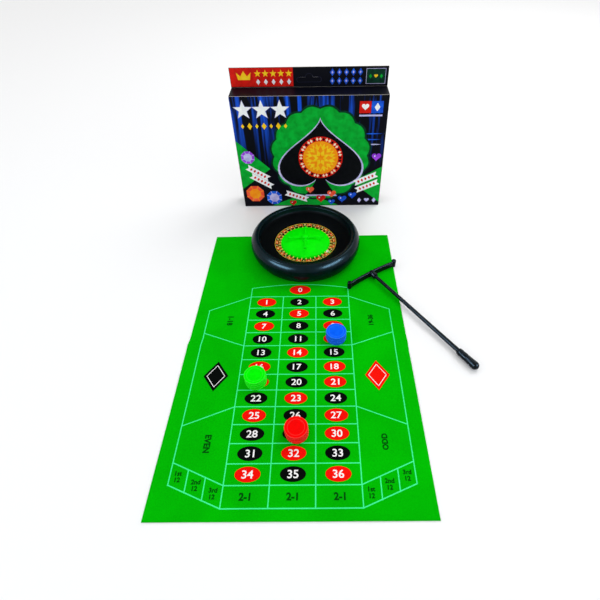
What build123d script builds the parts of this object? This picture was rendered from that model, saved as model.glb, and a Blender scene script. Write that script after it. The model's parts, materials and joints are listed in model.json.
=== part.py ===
from build123d import *
import math
import os

os.makedirs("parts", exist_ok=True)

# A boxed table-top roulette set: play mat, wheel, ball, rake, three stacks of chips
# and the hanging carton they come in. Millimetres, +Z up, +Y towards the carton.
# The origin is the centre of the mat's underside, on the table.

# ---------------------------------------------------------------- driving dimensions
# Play mat
mat_width = 240.0
mat_length = 370.0
mat_thickness = 1.0
column_pitch = 39.3
row_pitch = 18.56
grid_start_y = 66.1

# Wheel: places on the mat
wheel_offset_x = 5.7
wheel_inset_y = 27.9

# Wheel: radii, each ring measured from the one inside it
rotor_radius = 41.2
rotor_gap = 0.9
cone_width = 14.4
track_width = 3.6
inner_wall_lean = 1.1
roll_width = 3.8
shoulder_width = 4.0
shoulder_to_rim = 3.0
foot_inset = 6.0
bowl_wall = 1.8

# Wheel: heights, each level measured from the one below it
foot_height = 1.2
floor_clearance = 2.4
post_height = 2.8
rotor_underside_gap = 2.6
rotor_wall = 1.6
pocket_depth = 2.4
shelf_rise = 1.0
ball_drop = 0.6
cone_rise = 5.2
track_rise = 3.4
inner_wall_rise = 4.6
roll_rise = 1.4
shoulder_drop = 3.0
rim_level = 13.5
lip_bead_radius = 0.6

# Wheel: spindle
pin_radius = 1.5
post_radius = 5.0
washer_thickness = 0.6
washer_overhang = 2.0
axial_play = 0.05
running_clearance = 0.05
bush_wall = 1.7
bush_length = 5.8
hub_wall = 2.8
clip_wall = 2.4
clip_thickness = 0.8
pin_stub = 0.9

# Wheel: rotor
pocket_count = 37
pocket_length = 4.6
fret_thickness = 0.8
fret_ring_wall = 0.8
fret_proud = 0.6
label_thickness = 0.25
label_margin = 0.3
dome_headroom = 0.7
dome_fullness = 0.62
dome_wall = 1.2
dome_edge_height = 2.0
dome_crown_radius = 8.0
dome_rib_width = 2.6

# Wheel: turret with four arms
turret_stem_radius = 2.4
turret_column_radius = 4.6
turret_column_height = 5.6
turret_cap_radius = 1.8
arm_count = 4
arm_reach = 21.0
arm_root_radius = 1.5
arm_tip_radius = 1.1
arm_ball_radius = 2.0

# Ball
ball_radius = 1.75
ball_pocket = 3
ball_clearance = 0.02

# Rake
rake_inset_x = 30.6
rake_inset_y = 83.0
rake_heading = -56.1
blade_length = 71.0
blade_height = 8.0
blade_thickness = 3.0
blade_bow = 2.0
blade_post_radius = 2.8
blade_post_height = 10.0
socket_radius = 3.8
socket_length = 9.0
shaft_length = 147.0
shaft_root_radius = 2.1
shaft_end_radius = 2.5
grip_length = 27.0
grip_start_radius = 3.6
grip_end_radius = 4.4
grip_bore_depth = 12.0
grip_eye_radius = 0.9

# Chips
chip_radius = 11.0
chip_thickness = 1.5
chip_edge_chamfer = 0.25
chip_recess_radius = 7.4
chip_recess_depth = 0.2
chips_per_stack = 8
chip_wander = 0.25

# Carton
carton_gap_y = 32.4
carton_offset_x = 13.1
carton_width = 204.0
carton_height = 162.0
carton_depth = 31.0
header_height = 24.0
card = 0.6
crease_gap = 0.2
glue_flap_width = 12.0
glue_flap_margin = 4.0
lid_back_clearance = 0.3
tuck_length = 11.0
tuck_side_margin = 4.0
tuck_corner_radius = 5.0
dust_flap_length = 24.0
dust_flap_front_taper = 0.6
dust_flap_back_taper = 0.25
bottom_flap_setback = 9.0
bottom_dust_length = 26.0
hang_slot_width = 32.0
hang_slot_height = 6.0
hang_peak_radius = 5.0
hang_peak_rise = 2.4
hang_slot_level = 9.0
hang_kerf = 0.15
hang_nick_width = 0.8

# ------------------------------------------------------------------------- play mat
with BuildPart() as betting_mat:
    Box(mat_width, mat_length, mat_thickness, align=(Align.CENTER, Align.CENTER, Align.MIN))
betting_mat.part.label = "betting_mat"
export_step(betting_mat.part, "parts/betting_mat.step")

# ---------------------------------------------------------------------------- wheel
# Every wheel profile is drawn as radius across and height above the mat upwards.
wheel_y = mat_length / 2 - wheel_inset_y
wheel_foot = Vector(wheel_offset_x, wheel_y, mat_thickness)
wheel_axis = Axis(wheel_foot, (0, 0, 1))
wheel_profile = Plane(origin=wheel_foot, x_dir=(1, 0, 0), z_dir=(0, -1, 0))

floor_top = floor_clearance + bowl_wall
post_top = floor_top + post_height
bush_bottom = post_top + washer_thickness + axial_play
bush_top = bush_bottom + bush_length
pin_top = bush_top + axial_play + clip_thickness + pin_stub
rotor_underside = floor_top + rotor_underside_gap
pocket_floor = rotor_underside + rotor_wall
shelf_inner_top = pocket_floor + pocket_depth
shelf_outer_top = shelf_inner_top + shelf_rise
well_edge = shelf_outer_top + ball_drop
track_bottom = well_edge + cone_rise
track_top = track_bottom + track_rise
lip_level = track_top + inner_wall_rise
crown_level = lip_level + roll_rise
shoulder_level = crown_level - shoulder_drop

well_radius = rotor_radius + rotor_gap
track_radius = well_radius + cone_width
track_outer_radius = track_radius + track_width
lip_radius = track_outer_radius + inner_wall_lean
crown_radius = lip_radius + roll_width
shoulder_radius = crown_radius + shoulder_width
rim_radius = shoulder_radius + shoulder_to_rim
foot_radius = rim_radius - foot_inset

with BuildPart() as bowl_shell:
    with BuildSketch(wheel_profile):
        with BuildLine():
            foot = Line((foot_radius, 0), (foot_radius, foot_height))
            side = ThreePointArc(foot @ 1, (rim_radius, rim_level), (shoulder_radius, shoulder_level))
            roll = ThreePointArc(side @ 1, (crown_radius, crown_level), (lip_radius, lip_level))
            inner_wall = Line(roll @ 1, (track_outer_radius, track_top))
            track = TangentArc(inner_wall @ 1, (track_radius, track_bottom), tangent=inner_wall % 1)
            cone = Line(track @ 1, (well_radius, well_edge))
            well = Line(cone @ 1, (well_radius, floor_top))
            Line(well @ 1, (pin_radius, floor_top))
            offset(amount=bowl_wall, side=Side.LEFT)
        make_face()
    revolve(axis=wheel_axis)
    with BuildSketch(wheel_profile):
        with Locations((pin_radius, floor_clearance)):
            Rectangle(post_radius - pin_radius, post_top - floor_clearance, align=(Align.MIN, Align.MIN))
    revolve(axis=wheel_axis)
    with BuildSketch(wheel_profile):
        with Locations((lip_radius + lip_bead_radius / 2, lip_level)):
            Circle(lip_bead_radius)
    revolve(axis=wheel_axis)
bowl_shell.part.label = "bowl_shell"
export_step(bowl_shell.part, "parts/bowl_shell.step")

with BuildPart() as spindle_pin:
    with BuildSketch(Plane(wheel_foot).offset(floor_clearance)):
        Circle(pin_radius)
    extrude(amount=pin_top - floor_clearance)
    chamfer(spindle_pin.edges().group_by(Axis.Z)[-1], pin_radius / 5)
spindle_pin.part.label = "spindle_pin"
export_step(spindle_pin.part, "parts/spindle_pin.step")

with BuildPart() as thrust_washer:
    with BuildSketch(Plane(wheel_foot).offset(post_top)):
        Circle(pin_radius + running_clearance + washer_overhang)
        Circle(pin_radius + running_clearance, mode=Mode.SUBTRACT)
    extrude(amount=washer_thickness)
thrust_washer.part.label = "thrust_washer"
export_step(thrust_washer.part, "parts/thrust_washer.step")

with BuildPart() as spindle_clip:
    with BuildSketch(Plane(wheel_foot).offset(bush_top + axial_play)):
        Circle(pin_radius + clip_wall)
        Circle(pin_radius, mode=Mode.SUBTRACT)
    extrude(amount=clip_thickness)
    chamfer(spindle_clip.edges().filter_by(GeomType.CIRCLE).sort_by(SortBy.RADIUS)[-2:], clip_thickness / 4)
spindle_clip.part.label = "spindle_clip"
export_step(spindle_clip.part, "parts/spindle_clip.step")

# ---------------------------------------------------------------------------- rotor
shelf_radius = rotor_radius - pocket_length
pocket_inner_radius = shelf_radius - pocket_length
bush_bore_radius = pin_radius + running_clearance
bush_radius = bush_bore_radius + bush_wall
hub_radius = bush_radius + hub_wall
dome_radius = pocket_inner_radius - label_margin / 2
dome_edge_bottom = pocket_floor + label_thickness + pocket_depth / 2
dome_seat = dome_edge_bottom + dome_edge_height - dome_wall
dome_edge_top = dome_edge_bottom + dome_edge_height
dome_top = pin_top + dome_headroom + dome_wall
dome_rise = dome_top - dome_edge_top

with BuildPart() as rotor_bush:
    with BuildSketch(Plane(wheel_foot).offset(bush_bottom)):
        Circle(bush_radius)
        Circle(bush_bore_radius, mode=Mode.SUBTRACT)
    extrude(amount=bush_length)
rotor_bush.part.label = "rotor_bush"
export_step(rotor_bush.part, "parts/rotor_bush.step")

with BuildPart() as rotor_disc:
    with BuildSketch(wheel_profile):
        with BuildLine():
            Polyline(
                (bush_radius, bush_bottom + axial_play),
                (hub_radius, bush_bottom + axial_play),
                (hub_radius, rotor_underside),
                (rotor_radius, rotor_underside),
                (rotor_radius, shelf_outer_top),
                (shelf_radius, shelf_inner_top),
                (shelf_radius, pocket_floor),
                (dome_radius, pocket_floor),
                (dome_radius, dome_edge_bottom),
                (dome_radius - dome_wall, dome_edge_bottom),
                (dome_radius - dome_wall, dome_seat),
                (dome_radius - dome_wall - dome_rib_width, dome_seat),
                (dome_radius - dome_wall - dome_rib_width, pocket_floor),
                (hub_radius, pocket_floor),
                (hub_radius, bush_top - axial_play),
                (bush_radius, bush_top - axial_play),
                close=True,
            )
        make_face()
    revolve(axis=wheel_axis)
rotor_disc.part.label = "rotor_disc"
export_step(rotor_disc.part, "parts/rotor_disc.step")

with BuildPart() as pocket_ring:
    with BuildSketch(Plane(wheel_foot).offset(pocket_floor)):
        Circle(shelf_radius - label_margin / 2)
        Circle(pocket_inner_radius, mode=Mode.SUBTRACT)
    extrude(amount=label_thickness)
pocket_ring.part.label = "pocket_ring"
export_step(pocket_ring.part, "parts/pocket_ring.step")

with BuildPart() as number_ring:
    with BuildSketch(wheel_profile):
        shelf_slope = shelf_rise / (rotor_radius - shelf_radius)
        label_inner = shelf_radius + label_margin
        label_outer = rotor_radius - label_margin
        label_inner_z = shelf_inner_top + label_margin * shelf_slope
        label_outer_z = shelf_outer_top - label_margin * shelf_slope
        with BuildLine():
            Polyline(
                (label_inner, label_inner_z),
                (label_outer, label_outer_z),
                (label_outer, label_outer_z + label_thickness),
                (label_inner, label_inner_z + label_thickness),
                close=True,
            )
        make_face()
    revolve(axis=wheel_axis)
number_ring.part.label = "number_ring"
export_step(number_ring.part, "parts/number_ring.step")

# The ring of frets that divides the pockets: a thin band with one blade to each number.
fret_bottom = pocket_floor + label_thickness
fret_height = shelf_inner_top + fret_proud - fret_bottom
fret_outer_radius = shelf_radius - label_margin
fret_inner_radius = pocket_inner_radius + fret_ring_wall
with BuildPart() as fret_ring:
    with BuildSketch(Plane(wheel_foot).offset(fret_bottom)):
        Circle(fret_inner_radius)
        Circle(pocket_inner_radius, mode=Mode.SUBTRACT)
        with PolarLocations(fret_inner_radius - fret_ring_wall / 2, pocket_count):
            Rectangle(
                fret_outer_radius - fret_inner_radius + fret_ring_wall / 2,
                fret_thickness,
                align=(Align.MIN, Align.CENTER),
            )
    extrude(amount=fret_height)
fret_ring.part.label = "fret_ring"
export_step(fret_ring.part, "parts/fret_ring.step")

slope_middle_radius = (dome_radius + dome_crown_radius) / 2
slope_middle_top = dome_edge_top + dome_rise * dome_fullness
with BuildPart() as rotor_cone:
    with BuildSketch(wheel_profile):
        with BuildLine():
            skirt = Line((dome_radius, dome_edge_bottom), (dome_radius, dome_edge_top))
            slope = ThreePointArc(
                skirt @ 1,
                (slope_middle_radius, slope_middle_top),
                (dome_crown_radius, dome_top),
            )
            crown = Line(slope @ 1, (turret_stem_radius, dome_top))
            stem_hole = Line(crown @ 1, (turret_stem_radius, dome_top - dome_wall))
            ceiling = Line(stem_hole @ 1, (dome_crown_radius, dome_top - dome_wall))
            inner_slope = ThreePointArc(
                ceiling @ 1,
                (slope_middle_radius, slope_middle_top - dome_wall),
                (dome_radius - dome_wall, dome_seat),
            )
            Polyline(inner_slope @ 1, (dome_radius - dome_wall, dome_edge_bottom), skirt @ 0)
        make_face()
    revolve(axis=wheel_axis)
rotor_cone.part.label = "rotor_cone"
export_step(rotor_cone.part, "parts/rotor_cone.step")

arm_level = dome_top + arm_ball_radius
with BuildPart() as turret:
    with BuildSketch(Plane(wheel_foot).offset(dome_top - dome_wall)):
        Circle(turret_stem_radius)
    extrude(amount=dome_wall)
    with BuildSketch(Plane(wheel_foot).offset(dome_top)):
        Circle(turret_column_radius)
    extrude(amount=turret_column_height)
    fillet(turret.edges().group_by(Axis.Z)[-1], turret_cap_radius)
    for arm_number in range(arm_count):
        heading = math.radians(360 / arm_count * arm_number)
        outward = Vector(math.cos(heading), math.sin(heading), 0)
        arm_root = wheel_foot + Vector(0, 0, arm_level) + outward * turret_column_radius / 2
        arm_length = arm_reach - turret_column_radius / 2
        with BuildSketch(Plane(origin=arm_root, z_dir=outward)):
            Circle(arm_root_radius)
        with BuildSketch(Plane(origin=arm_root + outward * arm_length, z_dir=outward)):
            Circle(arm_tip_radius)
        loft()
        with Locations(arm_root + outward * arm_length):
            Sphere(arm_ball_radius)
turret.part.label = "turret"
export_step(turret.part, "parts/turret.step")

# ----------------------------------------------------------------------------- ball
ball_track_radius = (fret_inner_radius + shelf_radius) / 2
ball_angle = math.radians(-360 / pocket_count * (ball_pocket + 0.5))
ball_centre = wheel_foot + Vector(
    ball_track_radius * math.cos(ball_angle),
    ball_track_radius * math.sin(ball_angle),
    fret_bottom + ball_radius + ball_clearance,
)
with BuildPart() as roulette_ball:
    with Locations(ball_centre):
        Sphere(ball_radius)
roulette_ball.part.label = "roulette_ball"
export_step(roulette_ball.part, "parts/roulette_ball.step")

# ----------------------------------------------------------------------------- rake
# The blade stands on the mat and the end of the grip lies on the table beside it.
rake_direction = Vector(1, 0, 0).rotate(Axis.Z, rake_heading)
rake_across = rake_direction.rotate(Axis.Z, 90)
rake_x = mat_width / 2 - rake_inset_x
rake_y = mat_length / 2 - rake_inset_y
shaft_start = Vector(rake_x, rake_y, mat_thickness + blade_height * 0.68)
shaft_run = shaft_length + grip_length
shaft_drop = shaft_start.Z - grip_end_radius
shaft_direction = (rake_direction * shaft_run - Vector(0, 0, shaft_drop)).normalized()


def rake_section(distance):
    """Plane square to the shaft, distance along it from the middle of the blade."""
    return Plane(origin=shaft_start + shaft_direction * distance, x_dir=rake_across, z_dir=shaft_direction)


blade_plane = Plane(origin=(rake_x, rake_y, mat_thickness), x_dir=rake_across, z_dir=(0, 0, 1))
with BuildPart() as rake_head:
    with BuildSketch(blade_plane):
        with BuildLine():
            # Bowed in plan, so that the ends reach back towards the player.
            ThreePointArc((-blade_length / 2, -blade_bow), (0, 0), (blade_length / 2, -blade_bow))
            offset(amount=blade_thickness / 2, side=Side.BOTH)
        make_face()
    extrude(amount=blade_height)
    with BuildSketch(blade_plane):
        with Locations((-blade_length / 2, -blade_bow), (blade_length / 2, -blade_bow)):
            Circle(blade_post_radius)
    extrude(amount=blade_post_height)
    with BuildSketch(rake_section(0)):
        Circle(socket_radius)
    extrude(amount=socket_length)
    with BuildSketch(rake_section(0)):
        Circle(shaft_root_radius)
    extrude(amount=socket_length, mode=Mode.SUBTRACT)
rake_head.part.label = "rake_head"
export_step(rake_head.part, "parts/rake_head.step")

with BuildPart() as rake_shaft:
    with BuildSketch(rake_section(0)):
        Circle(shaft_root_radius)
    extrude(amount=socket_length)
    with BuildSketch(rake_section(socket_length)):
        Circle(shaft_root_radius)
    with BuildSketch(rake_section(shaft_length)):
        Circle(shaft_end_radius)
    loft()
    with BuildSketch(rake_section(shaft_length)):
        Circle(shaft_end_radius)
    extrude(amount=grip_bore_depth)
rake_shaft.part.label = "rake_shaft"
export_step(rake_shaft.part, "parts/rake_shaft.step")

grip_body_length = grip_length - grip_end_radius
with BuildPart() as rake_grip:
    with BuildSketch(rake_section(shaft_length)):
        Circle(grip_start_radius)
    with BuildSketch(rake_section(shaft_length + grip_body_length)):
        Circle(grip_end_radius)
    loft()
    with Locations(rake_section(shaft_length + grip_body_length)):
        Sphere(grip_end_radius)
    with BuildSketch(rake_section(shaft_length)):
        Circle(shaft_end_radius)
    extrude(amount=grip_bore_depth, mode=Mode.SUBTRACT)
    eye_place = rake_section(shaft_length + grip_body_length + grip_end_radius * 0.45)
    with BuildSketch(Plane(origin=eye_place.origin, z_dir=(0, 0, 1))):
        Circle(grip_eye_radius)
    extrude(amount=grip_end_radius, both=True, mode=Mode.SUBTRACT)
rake_grip.part.label = "rake_grip"
export_step(rake_grip.part, "parts/rake_grip.step")

# ---------------------------------------------------------------------------- chips
# Each stack stands on one number of the printed grid: column, row, and how far the
# stack stands off the middle of that cell.
stack_places = {
    "blue": (1, 4, 2.6, 1.1),
    "green": (-1, 7, -1.8, 1.3),
    "red": (0, 10, 2.0, 0.7),
}


def chip_plane(colour, number):
    """Underside of one chip; each chip of a stack stands a little off its neighbours."""
    column, row, offset_x, offset_y = stack_places[colour]
    turn = 2.4 * number + column
    return Plane(
        origin=(
            column * column_pitch + offset_x + chip_wander * math.cos(turn),
            grid_start_y - (row - 0.5) * row_pitch + offset_y + chip_wander * math.sin(turn),
            mat_thickness + number * chip_thickness,
        )
    )


def chip_blank(plane):
    """One chip: a chamfered disc with a shallow round recess for the label."""
    with BuildPart(plane) as chip:
        Cylinder(chip_radius, chip_thickness, align=(Align.CENTER, Align.CENTER, Align.MIN))
        chamfer(chip.edges().filter_by(GeomType.CIRCLE), chip_edge_chamfer)
        with Locations((0, 0, chip_thickness - chip_recess_depth)):
            Cylinder(
                chip_recess_radius,
                chip_recess_depth,
                align=(Align.CENTER, Align.CENTER, Align.MIN),
                mode=Mode.SUBTRACT,
            )
    return chip.part


for colour in stack_places:
    chips = [chip_blank(chip_plane(colour, number)) for number in range(chips_per_stack)]
    stack_label = f"chip_stack_{colour}"
    stack = Compound(label=stack_label, children=chips[:-1])
    export_step(stack, f"parts/{stack_label}.step")
    top_label = f"chip_top_{colour}"
    chips[-1].label = top_label
    export_step(chips[-1], f"parts/{top_label}.step")

# --------------------------------------------------------------------------- carton
# Carton places are measured from the middle of its front face's bottom edge.
carton_x = carton_offset_x
carton_y = wheel_y + rim_radius + carton_gap_y
half_width = carton_width / 2
inner_half_width = half_width - card
back_inside = carton_depth - card


def carton_plane(x, y, z):
    """Horizontal plane at a place in the carton."""
    return Plane((carton_x + x, carton_y + y, z))


def cross_plane(y, z):
    """Upright plane facing the player, at a depth and height in the carton."""
    return Plane(origin=(carton_x, carton_y + y, z), x_dir=(1, 0, 0), z_dir=(0, -1, 0))


# Levels at the top of the carton. The lid hinges on the front panel's top edge, and its
# tuck tongue leans in just enough for its tip to swing clear of the header ply.
side_top = carton_height - card - 2 * crease_gap
hinge_y = card / 2
lid_underside = carton_height - card
header_front = back_inside - card
lid_front = card + crease_gap
lid_back = header_front - lid_back_clearance
tuck_top = lid_underside - crease_gap
tuck_drop = carton_height - tuck_top + tuck_length
tuck_tip_reach = math.sqrt((lid_back - hinge_y) ** 2 - tuck_drop**2)
tuck_lean = lid_back - hinge_y - tuck_tip_reach

with BuildPart(carton_plane(0, 0, 0)) as carton_front_panel:
    Box(carton_width, card, carton_height, align=(Align.CENTER, Align.MIN, Align.MIN))
carton_front_panel.part.label = "carton_front_panel"
export_step(carton_front_panel.part, "parts/carton_front_panel.step")


def hang_slot(clearance):
    """Outline of the hanging slot pulled in by clearance: a long slot with a round peak."""
    with BuildSketch() as outline:
        SlotOverall(hang_slot_width - 2 * clearance, hang_slot_height - 2 * clearance)
        with Locations((0, hang_peak_rise)):
            Circle(hang_peak_radius - clearance)
    return outline.sketch


hang_slot_plane = cross_plane(carton_depth, carton_height + hang_slot_level)

with BuildPart(carton_plane(0, back_inside, 0)) as carton_back_panel:
    Box(
        carton_width,
        card,
        carton_height + header_height,
        align=(Align.CENTER, Align.MIN, Align.MIN),
    )
    with BuildSketch(hang_slot_plane):
        add(hang_slot(0))
    extrude(amount=card, mode=Mode.SUBTRACT)
carton_back_panel.part.label = "carton_back_panel"
export_step(carton_back_panel.part, "parts/carton_back_panel.step")

with BuildPart(carton_plane(0, header_front, carton_height + crease_gap)) as header_ply:
    Box(
        carton_width,
        card,
        header_height - crease_gap,
        align=(Align.CENTER, Align.MIN, Align.MIN),
    )
    with BuildSketch(hang_slot_plane.offset(card)):
        add(hang_slot(0))
    extrude(amount=card, mode=Mode.SUBTRACT)
header_ply.part.label = "header_ply"
export_step(header_ply.part, "parts/header_ply.step")

# The press-out tab is held in the slot by nicks across its width and height.
with BuildPart() as hang_slot_tab:
    with BuildSketch(hang_slot_plane):
        Rectangle(hang_slot_width, hang_nick_width)
        Rectangle(hang_nick_width, hang_slot_height + 2 * (hang_peak_rise + hang_peak_radius))
        add(hang_slot(0), mode=Mode.INTERSECT)
        add(hang_slot(hang_kerf))
    extrude(amount=2 * card)
hang_slot_tab.part.label = "hang_slot_tab"
export_step(hang_slot_tab.part, "parts/hang_slot_tab.step")

# Side panels stand between the front and back panels; their dust flaps hinge on top.
# A dust flap tapers towards its tip, so that it can rise while the lid lifts over it.
flap_root_front = card + 2 * crease_gap
flap_root_back = lid_back - card - tuck_lean - crease_gap
flap_tip_front = flap_root_front + dust_flap_length * dust_flap_front_taper
flap_tip_back = flap_root_back - dust_flap_length * dust_flap_back_taper
for side_name, side in (("left", -1), ("right", 1)):
    with BuildPart(carton_plane(side * (half_width - card / 2), card, 0)) as side_panel:
        Box(card, back_inside - card, side_top, align=(Align.CENTER, Align.MIN, Align.MIN))
    side_panel.part.label = f"carton_{side_name}_panel"
    export_step(side_panel.part, f"parts/carton_{side_name}_panel.step")

    with BuildPart() as dust_flap:
        with BuildSketch(carton_plane(side * inner_half_width, 0, side_top)):
            with BuildLine():
                Polyline(
                    (-side * crease_gap, flap_root_front),
                    (-side * crease_gap, flap_root_back),
                    (-side * dust_flap_length, flap_tip_back),
                    (-side * dust_flap_length, flap_tip_front),
                    close=True,
                )
            make_face()
        extrude(amount=card, dir=(0, 0, -1))
    dust_flap.part.label = f"dust_flap_{side_name}"
    export_step(dust_flap.part, f"parts/dust_flap_{side_name}.step")

    with BuildPart(carton_plane(side * inner_half_width, back_inside, 2 * card)) as bottom_dust:
        Box(
            bottom_dust_length,
            back_inside - card,
            card,
            align=(Align.MIN if side < 0 else Align.MAX, Align.MAX, Align.MIN),
        )
    bottom_dust.part.label = f"bottom_dust_flap_{side_name}"
    export_step(bottom_dust.part, f"parts/bottom_dust_flap_{side_name}.step")

# The back panel's glue flap is stuck to the inside of the left panel.
with BuildPart(carton_plane(-inner_half_width, back_inside, 3 * card + glue_flap_margin)) as glue_flap:
    Box(
        card,
        glue_flap_width,
        side_top - 4 * card - 2 * glue_flap_margin,
        align=(Align.MIN, Align.MAX, Align.MIN),
    )
glue_flap.part.label = "glue_flap"
export_step(glue_flap.part, "parts/glue_flap.step")

# Two bottom flaps, glued one on the other, close the carton underneath.
with BuildPart(carton_plane(0, card, 0)) as bottom_outer_flap:
    Box(
        2 * inner_half_width,
        back_inside - card,
        card,
        align=(Align.CENTER, Align.MIN, Align.MIN),
    )
bottom_outer_flap.part.label = "bottom_outer_flap"
export_step(bottom_outer_flap.part, "parts/bottom_outer_flap.step")

with BuildPart(carton_plane(0, back_inside, card)) as bottom_inner_flap:
    Box(
        2 * inner_half_width,
        back_inside - card - bottom_flap_setback,
        card,
        align=(Align.CENTER, Align.MAX, Align.MIN),
    )
bottom_inner_flap.part.label = "bottom_inner_flap"
export_step(bottom_inner_flap.part, "parts/bottom_inner_flap.step")

with BuildPart(carton_plane(0, lid_front, lid_underside)) as carton_lid:
    Box(
        carton_width - 2 * crease_gap,
        lid_back - lid_front,
        card,
        align=(Align.CENTER, Align.MIN, Align.MIN),
    )
carton_lid.part.label = "carton_lid"
export_step(carton_lid.part, "parts/carton_lid.step")

# The tongue is a thin plate drawn on its own slanted face.
tuck_face = Plane(
    origin=(carton_x, carton_y + lid_back, tuck_top),
    x_dir=(-1, 0, 0),
    z_dir=(0, tuck_length, -tuck_lean),
)
tuck_half_width = inner_half_width - tuck_side_margin
tuck_face_length = math.hypot(tuck_length, tuck_lean)
with BuildPart() as tuck_tongue:
    with BuildSketch(tuck_face):
        Rectangle(2 * tuck_half_width, tuck_face_length, align=(Align.CENTER, Align.MAX))
    extrude(amount=-card)
    tip_corners = tuck_tongue.edges().filter_by(Axis((0, 0, 0), tuck_face.z_dir)).group_by(Axis.Z)[0]
    fillet(tip_corners, tuck_corner_radius)
tuck_tongue.part.label = "tuck_tongue"
export_step(tuck_tongue.part, "parts/tuck_tongue.step")
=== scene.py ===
# %% [markdown]
# # A boxed table-top roulette set
#
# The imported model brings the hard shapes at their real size: a play mat, a small wheel, a rake,
# three stacks of chips and the hanging carton that they are sold in. This file gives them
# their surfaces: first the camera and the room, then each piece from the mat to the carton.

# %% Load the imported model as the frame
import json
import bmesh
import bpy
import numpy as np
from mathutils import Matrix, Vector
from mathutils.geometry import tessellate_polygon

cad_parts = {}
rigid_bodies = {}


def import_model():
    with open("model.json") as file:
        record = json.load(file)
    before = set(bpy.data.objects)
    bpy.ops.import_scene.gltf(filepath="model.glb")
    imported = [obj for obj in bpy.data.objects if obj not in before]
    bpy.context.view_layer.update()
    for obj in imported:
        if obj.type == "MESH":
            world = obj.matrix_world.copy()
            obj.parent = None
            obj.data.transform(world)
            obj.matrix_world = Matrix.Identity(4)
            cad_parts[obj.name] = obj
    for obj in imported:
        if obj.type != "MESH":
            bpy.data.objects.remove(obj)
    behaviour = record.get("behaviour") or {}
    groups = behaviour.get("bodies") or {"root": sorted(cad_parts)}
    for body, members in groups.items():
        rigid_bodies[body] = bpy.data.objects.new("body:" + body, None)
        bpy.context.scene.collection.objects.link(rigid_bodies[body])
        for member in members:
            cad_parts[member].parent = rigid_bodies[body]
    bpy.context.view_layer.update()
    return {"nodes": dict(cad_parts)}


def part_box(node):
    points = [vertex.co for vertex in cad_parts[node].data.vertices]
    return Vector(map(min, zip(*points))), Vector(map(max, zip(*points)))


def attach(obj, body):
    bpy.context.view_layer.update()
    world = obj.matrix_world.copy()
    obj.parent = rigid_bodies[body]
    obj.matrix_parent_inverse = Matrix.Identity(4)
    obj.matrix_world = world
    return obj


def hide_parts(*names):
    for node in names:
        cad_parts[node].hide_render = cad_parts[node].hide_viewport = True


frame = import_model()
MM = 0.001

# %% [markdown]
# The camera stands in front of the mat and above it, and looks down at about 46 degrees. Its
# place was worked out from the printed grid, whose rows and columns are evenly spaced. It sits
# a little to the right of the mat's middle, so the lens is shifted by a few hundredths.

# %% Camera
scene = bpy.context.scene
camera_place = Vector((25.46, -288.714, 367.078)) * MM
camera_yaw, camera_down, camera_tilt = -0.0095343, 0.8096453, -0.0163876
focal_pixels, picture_pixels, sensor_width = 420, 600, 36.0
principal_x = 318.0


def placed(name, data):
    """A new object in the scene."""
    thing = bpy.data.objects.new(name, data)
    scene.collection.objects.link(thing)
    return thing


camera_data = bpy.data.cameras.new("camera")
camera_data.sensor_width = sensor_width
camera_data.lens = focal_pixels / picture_pixels * sensor_width
camera_data.shift_x = (picture_pixels / 2 - principal_x) / picture_pixels
camera_data.clip_start, camera_data.clip_end = 0.01, 20
camera = placed("camera", camera_data)
camera.matrix_world = (
    Matrix.Translation(camera_place)
    @ Matrix.Rotation(-camera_yaw, 4, "Z")
    @ Matrix.Rotation(np.pi / 2 - camera_down, 4, "X")
    @ Matrix.Rotation(camera_tilt, 4, "Z")
)
bpy.context.scene.camera = camera
print("camera: lens", round(camera_data.lens, 2), "mm, shift", round(camera_data.shift_x, 3))

# %% [markdown]
# Every colour is written as the sRGB hex value that a picture editor shows, and one function
# turns it into the linear numbers that shaders work with. A small class adds the nodes of a
# material: each of its methods adds one node or a few, and gives their output to the next.


# %% Colour and node helpers
def linear(hex_colour):
    """sRGB hex to linear: c / 12.92 for the darkest values, else ((c + 0.055) / 1.055) ^ 2.4."""
    c = np.array([int(hex_colour[i : i + 2], 16) / 255 for i in (1, 3, 5)])
    return (*np.where(c <= 0.04045, c / 12.92, ((c + 0.055) / 1.055) ** 2.4), 1.0)


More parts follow.
